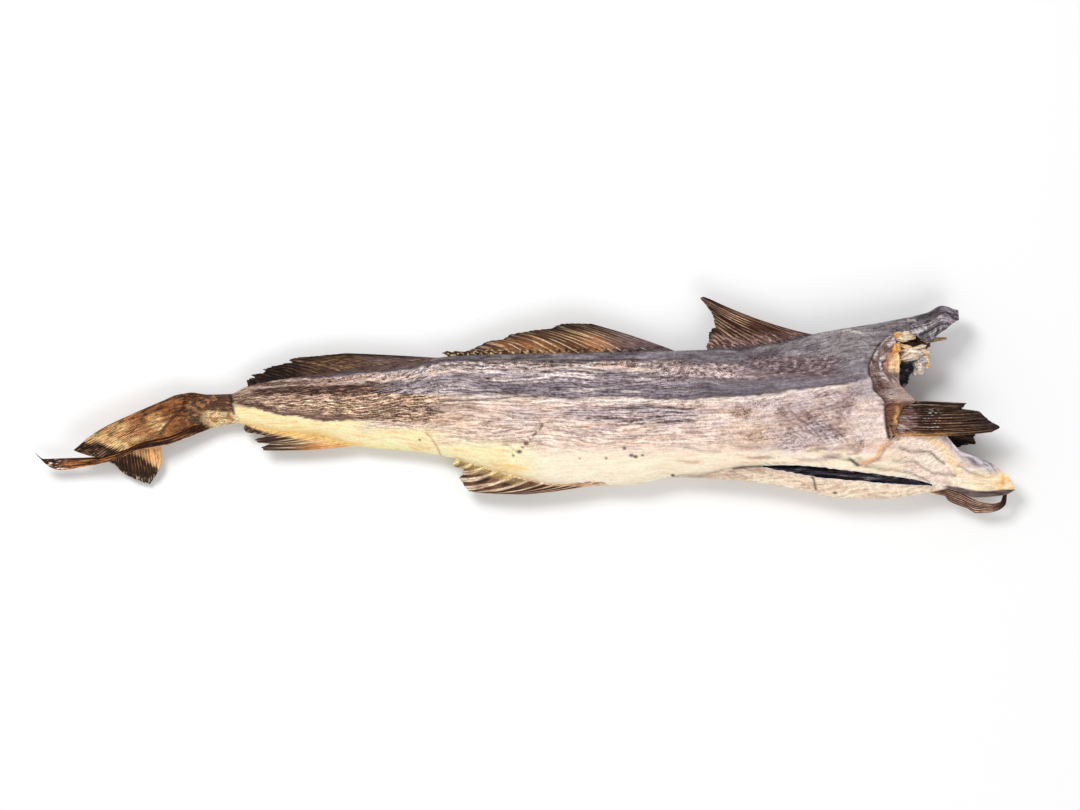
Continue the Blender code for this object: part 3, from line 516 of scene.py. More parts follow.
    # The pale strands on the nape are partly painted glossy highlights.
    paint((224, 216, 218), 0.75 * nape * strands(87, 14, 1.3, 0.1, 0.4))
    paint((50, 44, 50), 0.6 * nape * strands(47, 16, 1.6, 0.1, 0.4))
    speckle = np.maximum(speckle, 0.45 * back + 0.25 * purple)
    fibre = np.where(back > 0.5, 0.3 + 0.35 * nape, fibre)
    scuff = lenses(wx, wy, 76, 5, 2.2, 0.3, 0.55) * between(y, 50, 60, 2) * between(x, 218, 246, 5)
    paint((226, 206, 182), 0.75 * scuff)

    # Root of the tail: mottled brown flesh, pale beside the string's mark.
    root = ease(wx, -206, -210)
    paint((84, 50, 32), 0.96 * root)
    paint((190, 138, 92), 0.7 * root * lenses(x, y, 88, 3.5, 1.8))
    clean = root * between(wx, -230, -206, 3) * ease(wy, -3.5, -6)
    paint((252, 220, 168), 0.92 * clean)
    paint((168, 108, 66), 0.8 * clean * lenses(x, y, 31, 3.0, 1.6, 0.05, 0.3))
    speckle, fibre = np.maximum(speckle, 0.7 * root), np.where(root > 0.5, 0.3, fibre)

    # Collar past the skin's edge: grey brown with painted whitish highlights along its folds, a painted
    # bluish-white highlight low down, an orange inner edge, a brown fin root and a painted shadow line along
    # the skin's edge.
    past = past_skin_edge(x, y)
    collar = ease(past, -0.4, 0.6) * ease(wy, -25, -23)
    paint((136, 112, 106), collar)
    # The whitish streaks on the upper collar's folds are painted highlights.
    folds = lenses(past + 0.3 * y, y - 0.4 * past, 77, 1.8, 6.0, 0.0, 0.35)
    paint((222, 208, 206), 0.8 * collar * folds * ease(wy, 12, 18))
    paint((70, 52, 54), 0.6 * collar * lenses(past + 0.3 * y, y, 89, 1.6, 5.0, 0.1, 0.4) * ease(wy, 12, 18))
    paint((255, 214, 166), 0.95 * collar * ease(past, 12, 15.5) * ease(wy, 21, 27) * ease(wy, 41, 37))
    paint((196, 128, 84), 0.75 * collar * ease(past, 9, 12) * ease(past, 16, 13) * ease(wy, 24, 30))
    paint((184, 160, 148), 0.9 * collar * ease(wy, 19, 14) * ease(wy, -1, 4) * ease(x, 255, 262))
    # A painted bluish-white highlight on the smooth lower collar.
    whitish = between(wy, 8, 13, 1.5) * between(x, 256, 266, 2) * (0.6 + 0.8 * blotch)
    paint((226, 218, 224), 0.8 * collar * whitish)
    paint((94, 52, 36), 0.9 * collar * spot(x, y, 256, 12, 7, 3.5))
    paint((112, 68, 48), 0.95 * collar * ease(wy, 4, 0))
    paint((206, 168, 148), 0.7 * collar * ease(wy, -12, -18) * lenses(x + 0.3 * y, y, 46, 1.4, 6))
    paint((250, 194, 124), 0.9 * collar * spot(wx, y, 267, -10, 1.8, 9))
    # A painted shadow line along the skin's edge, where the skin steps down onto the collar.
    paint((50, 34, 34), 0.9 * bell(past + 0.2, 0.9) * between(y, -24, 48, 1))
    speckle = np.maximum(speckle, (0.6 - 0.35 * ease(past, 9, 13)) * collar)
    fibre = np.where(collar > 0.5, 0.35 - 0.2 * ease(past, 9, 13), fibre)

    # Hairy skin in front of the front anal fin.
    hem = np.interp(x, (20, 38, 50, 58, 66), (-57.8, -55.8, -53.6, -55.6, -59.5))
    fringe = ease(wy, hem + 0.8, hem - 0.8) * between(x, 20, 64, 2)
    paint((234, 190, 158), 0.9 * fringe)
    paint((112, 64, 48), 0.95 * fringe * lenses(x + 4 * y, y - 0.16 * x, 39, 14, 0.8, 0.0, 0.3))

    # Throat flap: cream, yellow towards its tip, with the grey membrane along its free edge and a painted
    # highlight on the membrane.
    throat = ease(wx, 260, 280) * ease(y, -19, -23)
    paint((252, 230, 212), 0.85 * throat)
    paint((226, 196, 186), 0.5 * throat * lenses(run, across + 0.3 * run, 78, 14, 4))
    paint((255, 234, 196), 0.95 * throat * ease(wx, 300, 335) * ease(wy, -44, -51))
    paint((255, 196, 118), 0.6 * throat * ease(wx, 332, 342) * lenses(wx, wy, 45, 3.5, 2.5, 0.0, 0.3))
    paint((228, 180, 140), 0.4 * throat * ease(wx, 312, 330) * strands(44, 8, 1.2, 0.2, 0.4))
    paint((246, 170, 72), 0.85 * spot(x, y, 344.5, -54.5, 1.6, 5))
    gleam = bell(distance_to(x, y, ((290, -23), (300, -30), (306, -40), (313, -48))), 3.0)
    paint((255, 212, 150), 0.65 * gleam * throat)
    web_edge = np.interp(x, (296, 303, 312, 322, 332, 345), (-20, -22.5, -32.2, -37, -41.5, -48.5))
    web = ease(web_edge - y, np.interp(x, (300, 325, 345), (8, 12, 5)), 0.5)
    web = web * ease(x, 297, 303) * ease(x, 345, 334)
    paint((160, 149, 160), 0.95 * web)
    paint((236, 224, 232), 0.8 * web * bell(web_edge - wy - 1.2, 1.1))
    # A painted pinkish-white highlight on the membrane.
    paint((255, 242, 238), 0.8 * spot(wx, wy, 324, -46.5, 9, 1.8))
    paint((92, 80, 94), 0.8 * web * lenses(run, wy + 0.6 * wx, 30, 12, 1.3, 0.1, 0.4))
    border = np.interp(x, (303, 312, 318, 325, 335, 345, 352),
                       (-57.6, -58.6, -60.2, -61.4, -61.6, -60.4, -60.6))
    under = ease(y, border + 0.3, border - 0.9) * ease(x, 301, 306)
    paint((112, 92, 92), under)
    paint((62, 46, 46), 0.8 * under * lenses(x, y, 90, 9, 1.4))
    speckle = np.where(throat > 0.5, 0.26 - 0.14 * ease(wx, 310, 330), speckle)
    fibre = np.where(throat > 0.5, 0.13, fibre)

    # The far wall of the belly, which shows below the slit, darker along its edge at the slit with painted
    # shade, streaked brown.
    ahead = np.interp(x, (107, 125, 145, 176), (-51.4, -51, -46.2, -44))
    slit_line = np.where(x < 176, ahead, smooth_curve(SLIT_LOWER)(x))
    strip = ease(y, slit_line + 0.3, slit_line - 0.6) * ease(x, 104, 112) * ease(x, 300, 292)
    paint((255, 230, 204), 0.94 * strip)
    # Painted shade along the far wall's edge at the slit, broken up by brown streaks.
    lip_shade_and_streaks = strip * ease(y, slit_line - 9, slit_line - 1) * ease(x, 215, 180)
    paint((150, 122, 108), 0.75 * lip_shade_and_streaks * (0.5 + 0.6 * lenses(x + 2 * y, y, 94, 9, 3)))
    paint((214, 176, 148), 0.5 * strip * strands(79, 7, 1.8))
    speckle, fibre = np.where(strip > 0.5, 0.26, speckle), np.where(strip > 0.5, 0.17, fibre)

    colours = colours * (1 + (0.05 + 0.3 * speckle)[..., None] * (0.9 * streak + 0.6 * blotch)[..., None])
    return np.concatenate([np.clip(colours, 0.004, 0.98), speckle[..., None], fibre[..., None]], -1)


def marked(x, y, colours):
    """Return the height and the colours once every crease, crack, scar and spot is drawn in, the creases'
    dark ink partly painted shade.
    """
    height = np.zeros(x.shape)
    waver_x, waver_y = x + 0.7 * patchy(x / 6, y / 6, 61), y + 0.7 * patchy(x / 6, y / 6, 62)
    ink = colours[..., :3].copy()
    for path, depth, half_width, darkness, tone in MARKS:
        near = distance_to(waver_x, waver_y, path)
        height -= depth * bell(near, 1.3 * half_width)
        ink = mixed(ink, tone, darkness * bell(near, half_width))
    for cx, cy, radius in SPOTS:
        ink = mixed(ink, (84, 34, 30), 0.95 * np.exp(-((np.hypot((x - cx) / 1.4, y - cy) / radius) ** 4)))
    return height, np.concatenate([ink, colours[..., 3:]], -1)


def surface_piece(name, points, faces, colours, flow, material):
    """Make a piece from table points and face loops.

    colours holds red, green, blue, how speckled and how fibrous the surface is at each
    point, and flow the distances along and across its fibres, for the material to read.
    """
    mesh = bpy.data.meshes.new(name)
    mesh.from_pydata(place(points), [], faces)
    colours = np.asarray(colours, np.float32).reshape(-1, 5)
    flow = np.concatenate([np.asarray(flow).reshape(-1, 2) * MM, np.zeros((len(colours), 1))], 1)
    for title, kind, field, values in (("tint", "FLOAT_COLOR", "color", colours[:, :4]),
                                       ("fibre", "FLOAT", "value", colours[:, 4]),
                                       ("flow", "FLOAT_VECTOR", "vector", flow)):
        attribute = mesh.attributes.new(title, kind, "POINT")
        attribute.data.foreach_set(field, values.astype(np.float32).ravel())
    mesh.materials.append(material)
    mesh.shade_smooth()
    piece = bpy.data.objects.new(name, mesh)
    bpy.context.scene.collection.objects.link(piece)
    return piece


def dried_material(name, roughness, fleck_size, stretch, bump, line_width=0.0011, line_length=15.0):
    """Make a dried skin: the piece's own tint, flecked and lined along its fibres.

    All patterns read the flow attribute. Flecks are a coarse noise, stretched along the
    fibres, plus a fine grain, scaled by the tint's fourth value. A long, narrow noise
    makes strands, dark where it is low and paler where it is high, and the fibre
    attribute says how strong they are. What darkens the tint takes more blue and green
    from it than red. Flecks and strands also raise the surface, and the coarse noise
    varies its gloss.
    """
    material = bpy.data.materials.new(name)
    material.use_nodes = True
    nodes, links = material.node_tree.nodes, material.node_tree.links
    shader = nodes["Principled BSDF"]

    def add(kind, settings, inputs):
        """Add a node, and set or link each of its inputs."""
        made = nodes.new("ShaderNode" + kind)
        for key, value in settings.items():
            setattr(made, key, value)
        for key, value in inputs.items():
            if isinstance(value, bpy.types.NodeSocket):
                links.new(value, made.inputs[key])
            else:
                made.inputs[key].default_value = value
        return made

    def worked(operation, *values):
        """Return what an operation makes of its values, each a number or a socket."""
        return add("Math", {"operation": operation}, dict(enumerate(values))).outputs[0]

    def noise(size, pull, detail, distortion):
        """Return noise of a size in metres across the fibres, and pull times longer along them."""
        lay = add("Mapping", {}, {"Vector": flow, "Scale": (1 / pull, 1, 1)})
        return add("TexNoise", {}, {"Vector": lay.outputs[0], "Scale": 1 / size, "Detail": detail,
                                    "Roughness": 0.62, "Distortion": distortion}).outputs["Fac"]

    tint = add("Attribute", {"attribute_name": "tint"}, {})
    fibre = add("Attribute", {"attribute_name": "fibre"}, {}).outputs["Fac"]
    flow = add("Attribute", {"attribute_name": "flow"}, {}).outputs["Vector"]
    # Flecks are partly the skin's own mottling and partly painted glints; where they lift the tint, the
    # powers below also whiten it.
    fleck = noise(fleck_size, stretch, 4, 0.3)
    grain = noise(fleck_size / 2.7, 1.2, 2, 0.0)
    both = worked("ADD", fleck, grain)
    swing = add("MapRange", {}, {"Value": both, "From Min": 0.80, "From Max": 1.20,
                                 "To Min": -1.0, "To Max": 0.9})
    flecks = worked("MULTIPLY", swing.outputs[0], tint.outputs["Alpha"])
    strand = noise(line_width, line_length, 2, 0.35)
    line = add("MapRange", {"interpolation_type": "SMOOTHSTEP"},
               {"Value": strand, "From Min": 0.40, "From Max": 0.57, "To Min": 1.0, "To Max": -0.22})
    lines = worked("MULTIPLY", line.outputs[0], fibre)
    less = worked("SUBTRACT", flecks, lines)
    share = worked("ADD", less, 1.0)
    kept = worked("MAXIMUM", share, 0.12)
    warm = [worked("POWER", kept, power) for power in (0.95, 1.07, 1.11)]
    shade = add("CombineXYZ", {}, {"X": warm[0], "Y": warm[1], "Z": warm[2]}).outputs[0]
    flecked = add("VectorMath", {"operation": "MULTIPLY"}, {0: tint.outputs["Color"], 1: shade}).outputs[0]
    links.new(flecked, shader.inputs["Base Color"])
    dull = add("MapRange", {}, {"Value": fleck, "To Min": roughness - 0.12, "To Max": roughness + 0.12})
    links.new(dull.outputs[0], shader.inputs["Roughness"])
    ground = worked("MULTIPLY_ADD", lines, -1.6, both)
    raised = add("Bump", {}, {"Strength": 0.8, "Distance": bump, "Height": ground}).outputs[0]
    links.new(raised, shader.inputs["Normal"])
    shader.inputs["Specular IOR Level"].default_value = 0.16
    return material


skin_finish = dried_material("dried_skin", roughness=0.5, fleck_size=0.0016, stretch=2.0, bump=0.0003)


def shell_faces(cells, stride=1):
    """Return face loops that close two grids of points, one over the other, into a shell.

    cells says which cells are in use. The lower grid has only every stride-th row, and
    its points are numbered after the upper grid's. Rims are closed from cell to cell.
    """
    rows, columns = cells.shape[0] + 1, cells.shape[1] + 1
    top = np.arange(rows * columns).reshape(rows, columns)
    low = top[:(rows - 1) // stride + 1] + rows * columns
    low_cells = cells[::stride]

    def loops(number, used):
        """Return the four corners of each cell in use."""
        corners = np.stack([number[:-1, :-1], number[1:, :-1], number[1:, 1:], number[:-1, 1:]], -1)
        return corners[used]

    faces = loops(top, cells).tolist() + loops(low, low_cells)[:, ::-1].tolist()
    padded = np.pad(low_cells, 1)
    for i, j in zip(*np.nonzero(low_cells)):
        near_i, far_i = i * stride, (i + 1) * stride
        if not padded[i, j + 1]:
            faces.append([top[near_i, j], top[near_i, j + 1], low[i, j + 1], low[i, j]])
        if not padded[i + 2, j + 1]:
            faces.append([top[far_i, j + 1], top[far_i, j], low[i + 1, j], low[i + 1, j + 1]])
        if not padded[i + 1, j]:
            faces.append([*top[near_i:far_i + 1, j][::-1], low[i, j], low[i + 1, j]])
        if not padded[i + 1, j + 2]:
            faces.append([*top[near_i:far_i + 1, j + 1], low[i + 1, j + 1], low[i, j + 1]])
    return [[int(k) for k in face] for face in faces]


def weld(piece, gap=0.004):
    """Merge points that coincide, drop unused ones and turn the faces outward."""
    shape = bmesh.new()
    shape.from_mesh(piece.data)
    loose = [corner for corner in shape.verts if not corner.link_faces]
    bmesh.ops.delete(shape, geom=loose, context="VERTS")
    bmesh.ops.remove_doubles(shape, verts=shape.verts, dist=gap * MM)
    if shape.calc_volume(signed=True) < 0:
        bmesh.ops.reverse_faces(shape, faces=shape.faces)
    shape.to_mesh(piece.data)
    shape.free()


def trunk_plan():
    """Return x and y of the trunk's grid and its cells: flank, nape and throat in one C.

    Rows run lengthwise at fixed shares of the girth. Near the front the columns lean
    until the last lies on the collar's edge, which a few rounds settle, and the nape and
    the throat run on.
    """
    shares = np.concatenate([
        NAPE_SHARE * np.linspace(0, 1, NAPE_ROWS + 1) ** 1.6,
        np.linspace(NAPE_SHARE, THROAT_SHARE, FLANK_ROWS + 1)[1:],
        1 - (1 - THROAT_SHARE) * (1 - np.linspace(0, 1, THROAT_ROWS + 1)[1:]) ** 1.35,
    ])[:, None]
    plain = x = np.linspace(BACK[0][0], STUB, COLUMNS + 1)[None] * np.ones_like(shares)
    lean = ease(x, LEAN_START, STUB)
    for _ in range(6):
        y = back_line(x) - shares * (back_line(x) - belly_line(x))
        x = plain + lean * (collar_edge(y) - STUB)
    steps = np.arange(1, FRONT_COLUMNS + 1)[None] / FRONT_COLUMNS
    nape, throat = slice(0, NAPE_ROWS + 1), slice(NAPE_ROWS + FLANK_ROWS, None)
    nape_x = x[nape, -1:] + steps * (NAPE_END - x[nape, -1:])
    part = shares[nape] / NAPE_SHARE
    nape_y = back_line(nape_x) * (1 - part) + smooth_curve(NAPE_LOWER)(nape_x) * part
    throat_x = x[throat, -1:] + steps * (THROAT_END - x[throat, -1:])
    part = (shares[throat] - THROAT_SHARE) / (1 - THROAT_SHARE)
    throat_y = smooth_curve(THROAT_UPPER)(throat_x) * (1 - part) + belly_line(throat_x) * part
    gap = np.zeros((FLANK_ROWS - 1, FRONT_COLUMNS))
    x = np.concatenate([x, np.concatenate([nape_x, gap, throat_x])], 1)
    y = np.concatenate([y, np.concatenate([nape_y, gap, throat_y])], 1)
    cells = np.ones((len(shares) - 1, x.shape[1] - 1), bool)
    cells[NAPE_ROWS:NAPE_ROWS + FLANK_ROWS, COLUMNS:] = False
    return x, y, cells


def make_trunk():
    """Make the trunk's near side finely and its far side coarsely, in one shell.

    Along the nape's free end the far side rises to the middle plane.
    """
    x, y, cells = trunk_plan()
    colours = flank_colours(x, y)
    drawn, colours = marked(x, y, colours)
    calm = np.minimum(1, 2.5 * girth(x, y))
    upper = np.stack([x, y, near_side(x, y) + fine_relief(x, y) + drawn * calm], -1)
    fx, fy = x[::FAR_STRIDE], y[::FAR_STRIDE]
    free_nape = np.clip((fx - 266) / 46, 0, 1) * (fy > 40)
    wrinkle = 0.5 * cloudy(fx / 30, fy / 4, 71, 2) * np.minimum(1, 2 * girth(fx, fy))
    low = far_side(fx, fy)
    low = np.where(low > 0.6, np.maximum(low + wrinkle, 0), low)
    low = low * (1 - free_nape) + middle(fx) * free_nape
    points = np.concatenate([upper.reshape(-1, 3), np.stack([fx, fy, low], -1).reshape(-1, 3)])
    tints = np.concatenate([colours.reshape(-1, 5), flank_colours(fx, fy).reshape(-1, 5)])
    flow = np.concatenate([flank_flow(x, y).reshape(-1, 2), flank_flow(fx, fy + 40).reshape(-1, 2)])
    trunk = surface_piece("trunk_skin", points, shell_faces(cells, FAR_STRIDE), tints, flow, skin_finish)
    weld(trunk)
    return trunk


def tinted(x, base, speckle=0.5, fibre=0.4):
    """Return an even colour at each point, with how speckled and how fibrous it is."""
    grain = np.ones(x.shape + (2,)) * (speckle, fibre)
    return np.concatenate([np.ones(x.shape + (3,)) * linear(base), grain], -1)


def coated(colours, *coats):
    """Return colours blended towards each coat's tone in turn, by its amount at each point."""
    for tone, amount in coats:
        colours = np.concatenate([mixed(colours[..., :3], tone, amount), colours[..., 3:]], -1)
    return colours


def sheet_piece(name, x, y, top, bottom, colours, flow, material):
    """Make a piece that is one height over another on the same plan, closed round its rim."""
    cells = np.ones((x.shape[0] - 1, x.shape[1] - 1), bool)
    points = np.stack([[x, y, top], [x, y, bottom]]).transpose(0, 2, 3, 1)
    piece = surface_piece(name, points.reshape(-1, 3), shell_faces(cells),
                          np.stack([colours] * 2), np.stack([flow] * 2), material)
    weld(piece)
    return piece


def cavity_roof(x, y):
    """Return the height of the cavity's roof: a wall below the skin, and thicker behind the slit."""
    return np.maximum(near_side(x, y) - WALL - 8 * (1 - ease(x, 160, 205)), middle(x) + 0.8)


def cavity_cutter(material):
    """Make the space inside the belly, from behind the slit to the open throat."""
    x, share = np.meshgrid(np.linspace(CAVITY_TOP[0][0], CAVITY_TOP[-1][0], 150),
                           np.concatenate([[0, 0.06, 0.15], np.linspace(0.3, 1, 40)]))
    y = smooth_curve(CAVITY_TOP)(x) * (1 - share) + (belly_line(x) + WALL + 1.2) * share
    roof = cavity_roof(x, y)
    floor = np.maximum(far_side(x, y) + WALL + 6 * (1 - ease(x, 160, 205)), WALL)
    floor = np.minimum(floor, middle(x) - 0.8)
    lip_y = 0.5 * (smooth_curve(SLIT_UPPER)(x) + smooth_curve(SLIT_LOWER)(x)) - 1
    fold = bell(y - lip_y, 4.5) * ease(x, 176, 192) * ease(x, 276, 258)
    floor = floor + fold * (roof - floor - 6 + 1.2 * patchy(x / 9, y / 3, 38))
    # The lining is bluish grey, and its pale streaks are painted glints.
    colours = coated(
        tinted(x, (112, 104, 118), 0.5, 0.5),
        ((230, 224, 236), 0.9 * lenses(x + 2 * y, y, 81, 9, 1.6)),
    )
    return sheet_piece("cavity", x, y, roof, floor, colours, np.stack([x, y], -1), material)


def slit_cutter(material):
    """Make the gap between the lips of the slit, with lips that waver."""
    x = np.linspace(SLIT_START, SLIT_END, 240)[None] * np.ones((2, 1))
    ragged = 0.35 * patchy(x / 3, np.array([[0.0], [9.0]]) + 0 * x, 82)
    y = np.stack([smooth_curve(SLIT_UPPER)(x[0]), smooth_curve(SLIT_LOWER)(x[0]) - 0.5]) + ragged
    colours = tinted(x, (78, 62, 62), 0.5, 0.5)
    return sheet_piece(
        "slit", x, y, 0 * x + ABOVE_ALL, cavity_roof(x, y) - 2.5, colours, np.stack([x, y], -1), material)


def cut(target, cutters):
    """Cut the cutters out of the target for good, and remove them."""
    for cutter in cutters:
        step = target.modifiers.new("cut", "BOOLEAN")
        step.operation, step.solver, step.object = "DIFFERENCE", "MANIFOLD", cutter
        step.material_mode = "TRANSFER"
    bpy.context.view_layer.update()
    shaped = target.evaluated_get(bpy.context.evaluated_depsgraph_get())
    mesh = bpy.data.meshes.new_from_object(shaped)
    target.modifiers.clear()
    target.data = mesh
    for cutter in cutters:
        bpy.data.objects.remove(cutter)


lining_finish = dried_material("belly_lining", roughness=0.42, fleck_size=0.003, stretch=3.0, bump=0.0003)
trunk = make_trunk()
cut(trunk, [cavity_cutter(lining_finish), slit_cutter(lining_finish)])
trunk.data.set_sharp_from_angle(angle=math.radians(55))
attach(trunk, "root")
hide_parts("stockfish")

# ----------
# Dorsal and anal fins: stiff dried webs on the back and the belly ridge. Each is a thin
# membrane, dark where it has dried hard, carried on soft rays that stand proud of it and
# sweep towards the tail, and it is rooted in the trunk's middle plane.

FIN_SINK = 3.5              # how far a fin's root is set into the trunk
web_finish = dried_material("dried_web", roughness=0.4, fleck_size=0.0015, stretch=2.0, bump=0.0002)


def along(path, shares):
    """Return points on a smooth path through the given ones, at shares 0 to 1 of its length."""
    path = np.array(path, float)
    run = np.concatenate(([0], np.cumsum(np.linalg.norm(np.diff(path, axis=0), axis=1))))
    return np.stack([smooth_curve(np.stack([run, column], 1))(shares * run[-1]) for column in path.T], -1)


def rods(turns, split, width=0.145):
    """Return 1 on each ray, 0 between: bells round whole turns, each parting in two as split grows."""
    off = np.abs(turns - np.round(turns))
    return bell(off - width * split, width)


def fin_piece(name, base, edge, cells, rays, paint, seed, material=web_finish, sink=0.0, heights=None,
              bow=(0.0, 0.0), folds=0.0, fold_depth=0.0, lengthwise=False, fan=None, thick=(1.9, 0.7),
              ragged=(0.05, 0.05), rise=0.7):
    """Make a fin ruled from its base line to its outer edge, rear to front.

    A point is the base point, moved by sink, plus a share of the way to the edge, bent
    sideways by a parabola of that share. Rays are bells of the place along the fin, or
    across it where they run lengthwise, or of the angle round the fan's apex, and part
    in two near the edge. The membrane between them is thinner and falls short of the
    edge. heights gives the root's and the edge's heights at shares along the fin, and
    without it the fin lies on the trunk's middle plane.
    """
    u = np.linspace(0, 1, cells[0] + 1)[None] * np.ones((cells[1] + 1, 1))
    w = np.linspace(0, 1, cells[1] + 1)[:, None] * np.ones((1, cells[0] + 1))
    start, end = along(np.add(base, (0.0, sink)), u[0])[None], along(edge, u[0])[None]
    ray = end - start
    side = np.stack([-ray[..., 1], ray[..., 0]], -1)
    bend = (bow[0] + (bow[1] - bow[0]) * u)[..., None]
    across, length = (w, u) if lengthwise else (u, w)
    if fan:
        plan = start + ray * w[..., None]
        across = (np.arctan2(fan[1] - plan[..., 1], fan[0] - plan[..., 0]) - fan[2]) / (fan[3] - fan[2])
    sway = 0.02 * patchy(across * 9, 0 * across, seed)
    turns = rays * (across + sway + 0.006 * patchy(across * 5, length * 3, seed + 1))
    ridge = rods(turns, ease(length, 0.35, 0.8))
    recede = 0
    if not lengthwise:
        depth = ragged[0] + (ragged[1] - ragged[0]) * u
        recede = depth * (0.5 + 0.5 * patchy(u * 23, 0 * u, seed + 2)) * (0.4 + 0.6 * (1 - ridge[-1:]))
    reach = (w * (1 - recede * w))[..., None]
    plan = start + ray * reach + bend * 4 * reach * (1 - reach) * side
    x, y = plan[..., 0], plan[..., 1]
    if heights is None:
        height = middle(start[..., 0]) + 0 * w
    else:
        height = smooth_curve(heights[0])(u) * (1 - w) + smooth_curve(heights[1])(u) * w
    height = height + fold_depth * np.sin(2 * math.pi * folds * u) * np.sqrt(w)
    height = height + 0.6 * patchy(u * 11, w * 2, seed + 3) * w
    half = 0.5 * (thick[0] * (1 - w) + thick[1] * w) * (0.5 + 0.5 * ridge)
    inset = np.minimum(np.minimum(w, 1 - w) * cells[1], np.minimum(u, 1 - u) * cells[0])
    half = half * (0.35 + 0.65 * np.sqrt(np.clip(inset, 0, 2) / 2))
    lift = rise * ridge * (1 - 0.4 * w)
    colours = paint(x, y, u, w, ridge)
    span = np.linalg.norm(ray, axis=-1).mean(), np.linalg.norm(start[0, -1] - start[0, 0])
    flow = np.stack([u * span[1], w * span[0]] if lengthwise else [w * span[0], u * span[1]], -1)
    top, bottom = height + half + lift, height - half + 0.4 * lift
    piece = sheet_piece(name, x, y, top, bottom, colours, flow, material)
    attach(piece, "root")


def shine(u, w, seed, across=60, out=4):
    """Return 0 to 1: where a ray catches the light along its length."""
    return ease(cloudy(u * across, w * out, seed, 2), -0.45, 0.3)


def third_dorsal_colours(x, y, u, w, ridge):
    """Return near-black web with brown rays, golden in the middle, purplish in front, and yellow flecks."""
    front = ease(x, -130, -102)
    lit = ridge ** 1.5 * (1 - 0.8 * front)
    dots = ease(patchy(x / 2.2, y / 1.6, 102), 0.25, 0.6) * ridge * between(x, -138, -106, 3)
    return coated(
        tinted(x, (36, 23, 19), 0.5, 0.5),
        ((106, 78, 64), 0.85 * ease(x, -172, -142)),
        ((142, 116, 110), 0.85 * front),
        ((176, 134, 100), 0.6 * lit * shine(u, w, 101, 30, 12) * ease(x, -180, -158)),
        ((112, 78, 58), 0.6 * ridge ** 2 * ease(x, -160, -172) * shine(u, w, 101, 30, 6)),
        ((44, 30, 28), 0.6 * (1 - ridge) * ease(w, 0.2, 0.7) * (1 - 0.8 * front)),
        ((190, 166, 158), 0.75 * front * lenses(x, y, 27, 7, 0.9)),
        ((186, 148, 108), 0.6 * between(x, -150, -100, 8) * lenses(x, y - 0.15 * x, 32, 6, 0.8)),
        ((66, 50, 54), 0.7 * front * ease(y, 33, 36.5)),
        ((236, 196, 140), 0.7 * dots * between(y, np.interp(x, (-138, -107), (25, 27)), 31.0, 1.4)),
    )


def second_dorsal_colours(x, y, u, w, ridge):
    """Return dark web with thin cream rays, golden brown low in the middle, purplish in front."""
    front = ease(x, 44, 84)
    low = ease(y, back_line(x) + 18, back_line(x) + 6)
    dark = ease(ridge, 0.45, 0.1) * (0.5 + 0.5 * shine(u, w, 28, 20, 3))
    lit = ridge ** 2 * shine(u, w, 111, 40, 4)
    stub = lenses(x, y, 114, 1.4, 1.2, 0.1, 0.45) * ease(y, back_line(x) + 4.2, back_line(x) + 2.2)
    dots = lenses(x, y, 43, 1.6, 1.0, 0.0, 0.3)
    return coated(
        tinted(x, (76, 50, 40), 0.5, 0.3),
        ((190, 130, 82), 0.85 * low * (0.4 + 0.6 * shine(u, w, 112, 20, 3)) * ease(x, -40, -10)),
        ((238, 174, 120), 0.75 * low * between(x, 10, 70, 12) * shine(u, w, 113, 16, 3)),
        ((140, 120, 124), 0.92 * front),
        ((84, 64, 68), 0.7 * front * lenses(x, y, 120, 6, 1.2)),
        ((40, 24, 22), 0.85 * dark * (1 - 0.6 * front) * (1 - 0.3 * low)),
        ((255, 226, 186), 0.95 * lit * (1 - front) * (1 - 0.6 * ease(w, 0.4, 0.9))),
        ((236, 206, 196), 0.7 * lit * front),
        ((34, 24, 26), 0.85 * ease(w, 0.93, 0.985)),
        ((246, 214, 160), 0.8 * stub * (0.35 + 0.65 * ease(x, 30, 0)) * ease(x, 84, 50)),
        ((30, 22, 24), 0.8 * dots * ease(y, back_line(x) + 5, back_line(x) + 2)),
    )


def first_dorsal_colours(x, y, u, w, ridge):
    """Return reddish brown web with thin pinkish rays, mottled by the root and dark towards the tip."""
    lit = ridge ** 1.5 * shine(u, w, 115, 13, 3)
    low = ease(y, back_line(x) + 12, back_line(x) + 2)
    return coated(
        tinted(x, (92, 58, 48), 0.55, 0.5),
        ((50, 26, 22), 0.9 * ease(w, 0.35, 0.9) * (0.6 + 0.4 * shine(u, w, 116, 12, 3))),
        ((60, 34, 28), 0.7 * (1 - ridge) * shine(u, w, 42, 30, 3)),
        ((244, 200, 168), 0.9 * lit * (1 - 0.4 * ease(w, 0.6, 1))),
        ((146, 106, 98), 0.6 * low),
        ((240, 216, 208), 0.75 * low * lenses(x, y + 0.4 * x, 41, 3.0, 1.0, 0.2, 0.4)),
        ((122, 108, 112), 0.8 * ease(y, back_line(x) + 3.0, back_line(x) + 0.5)),
    )


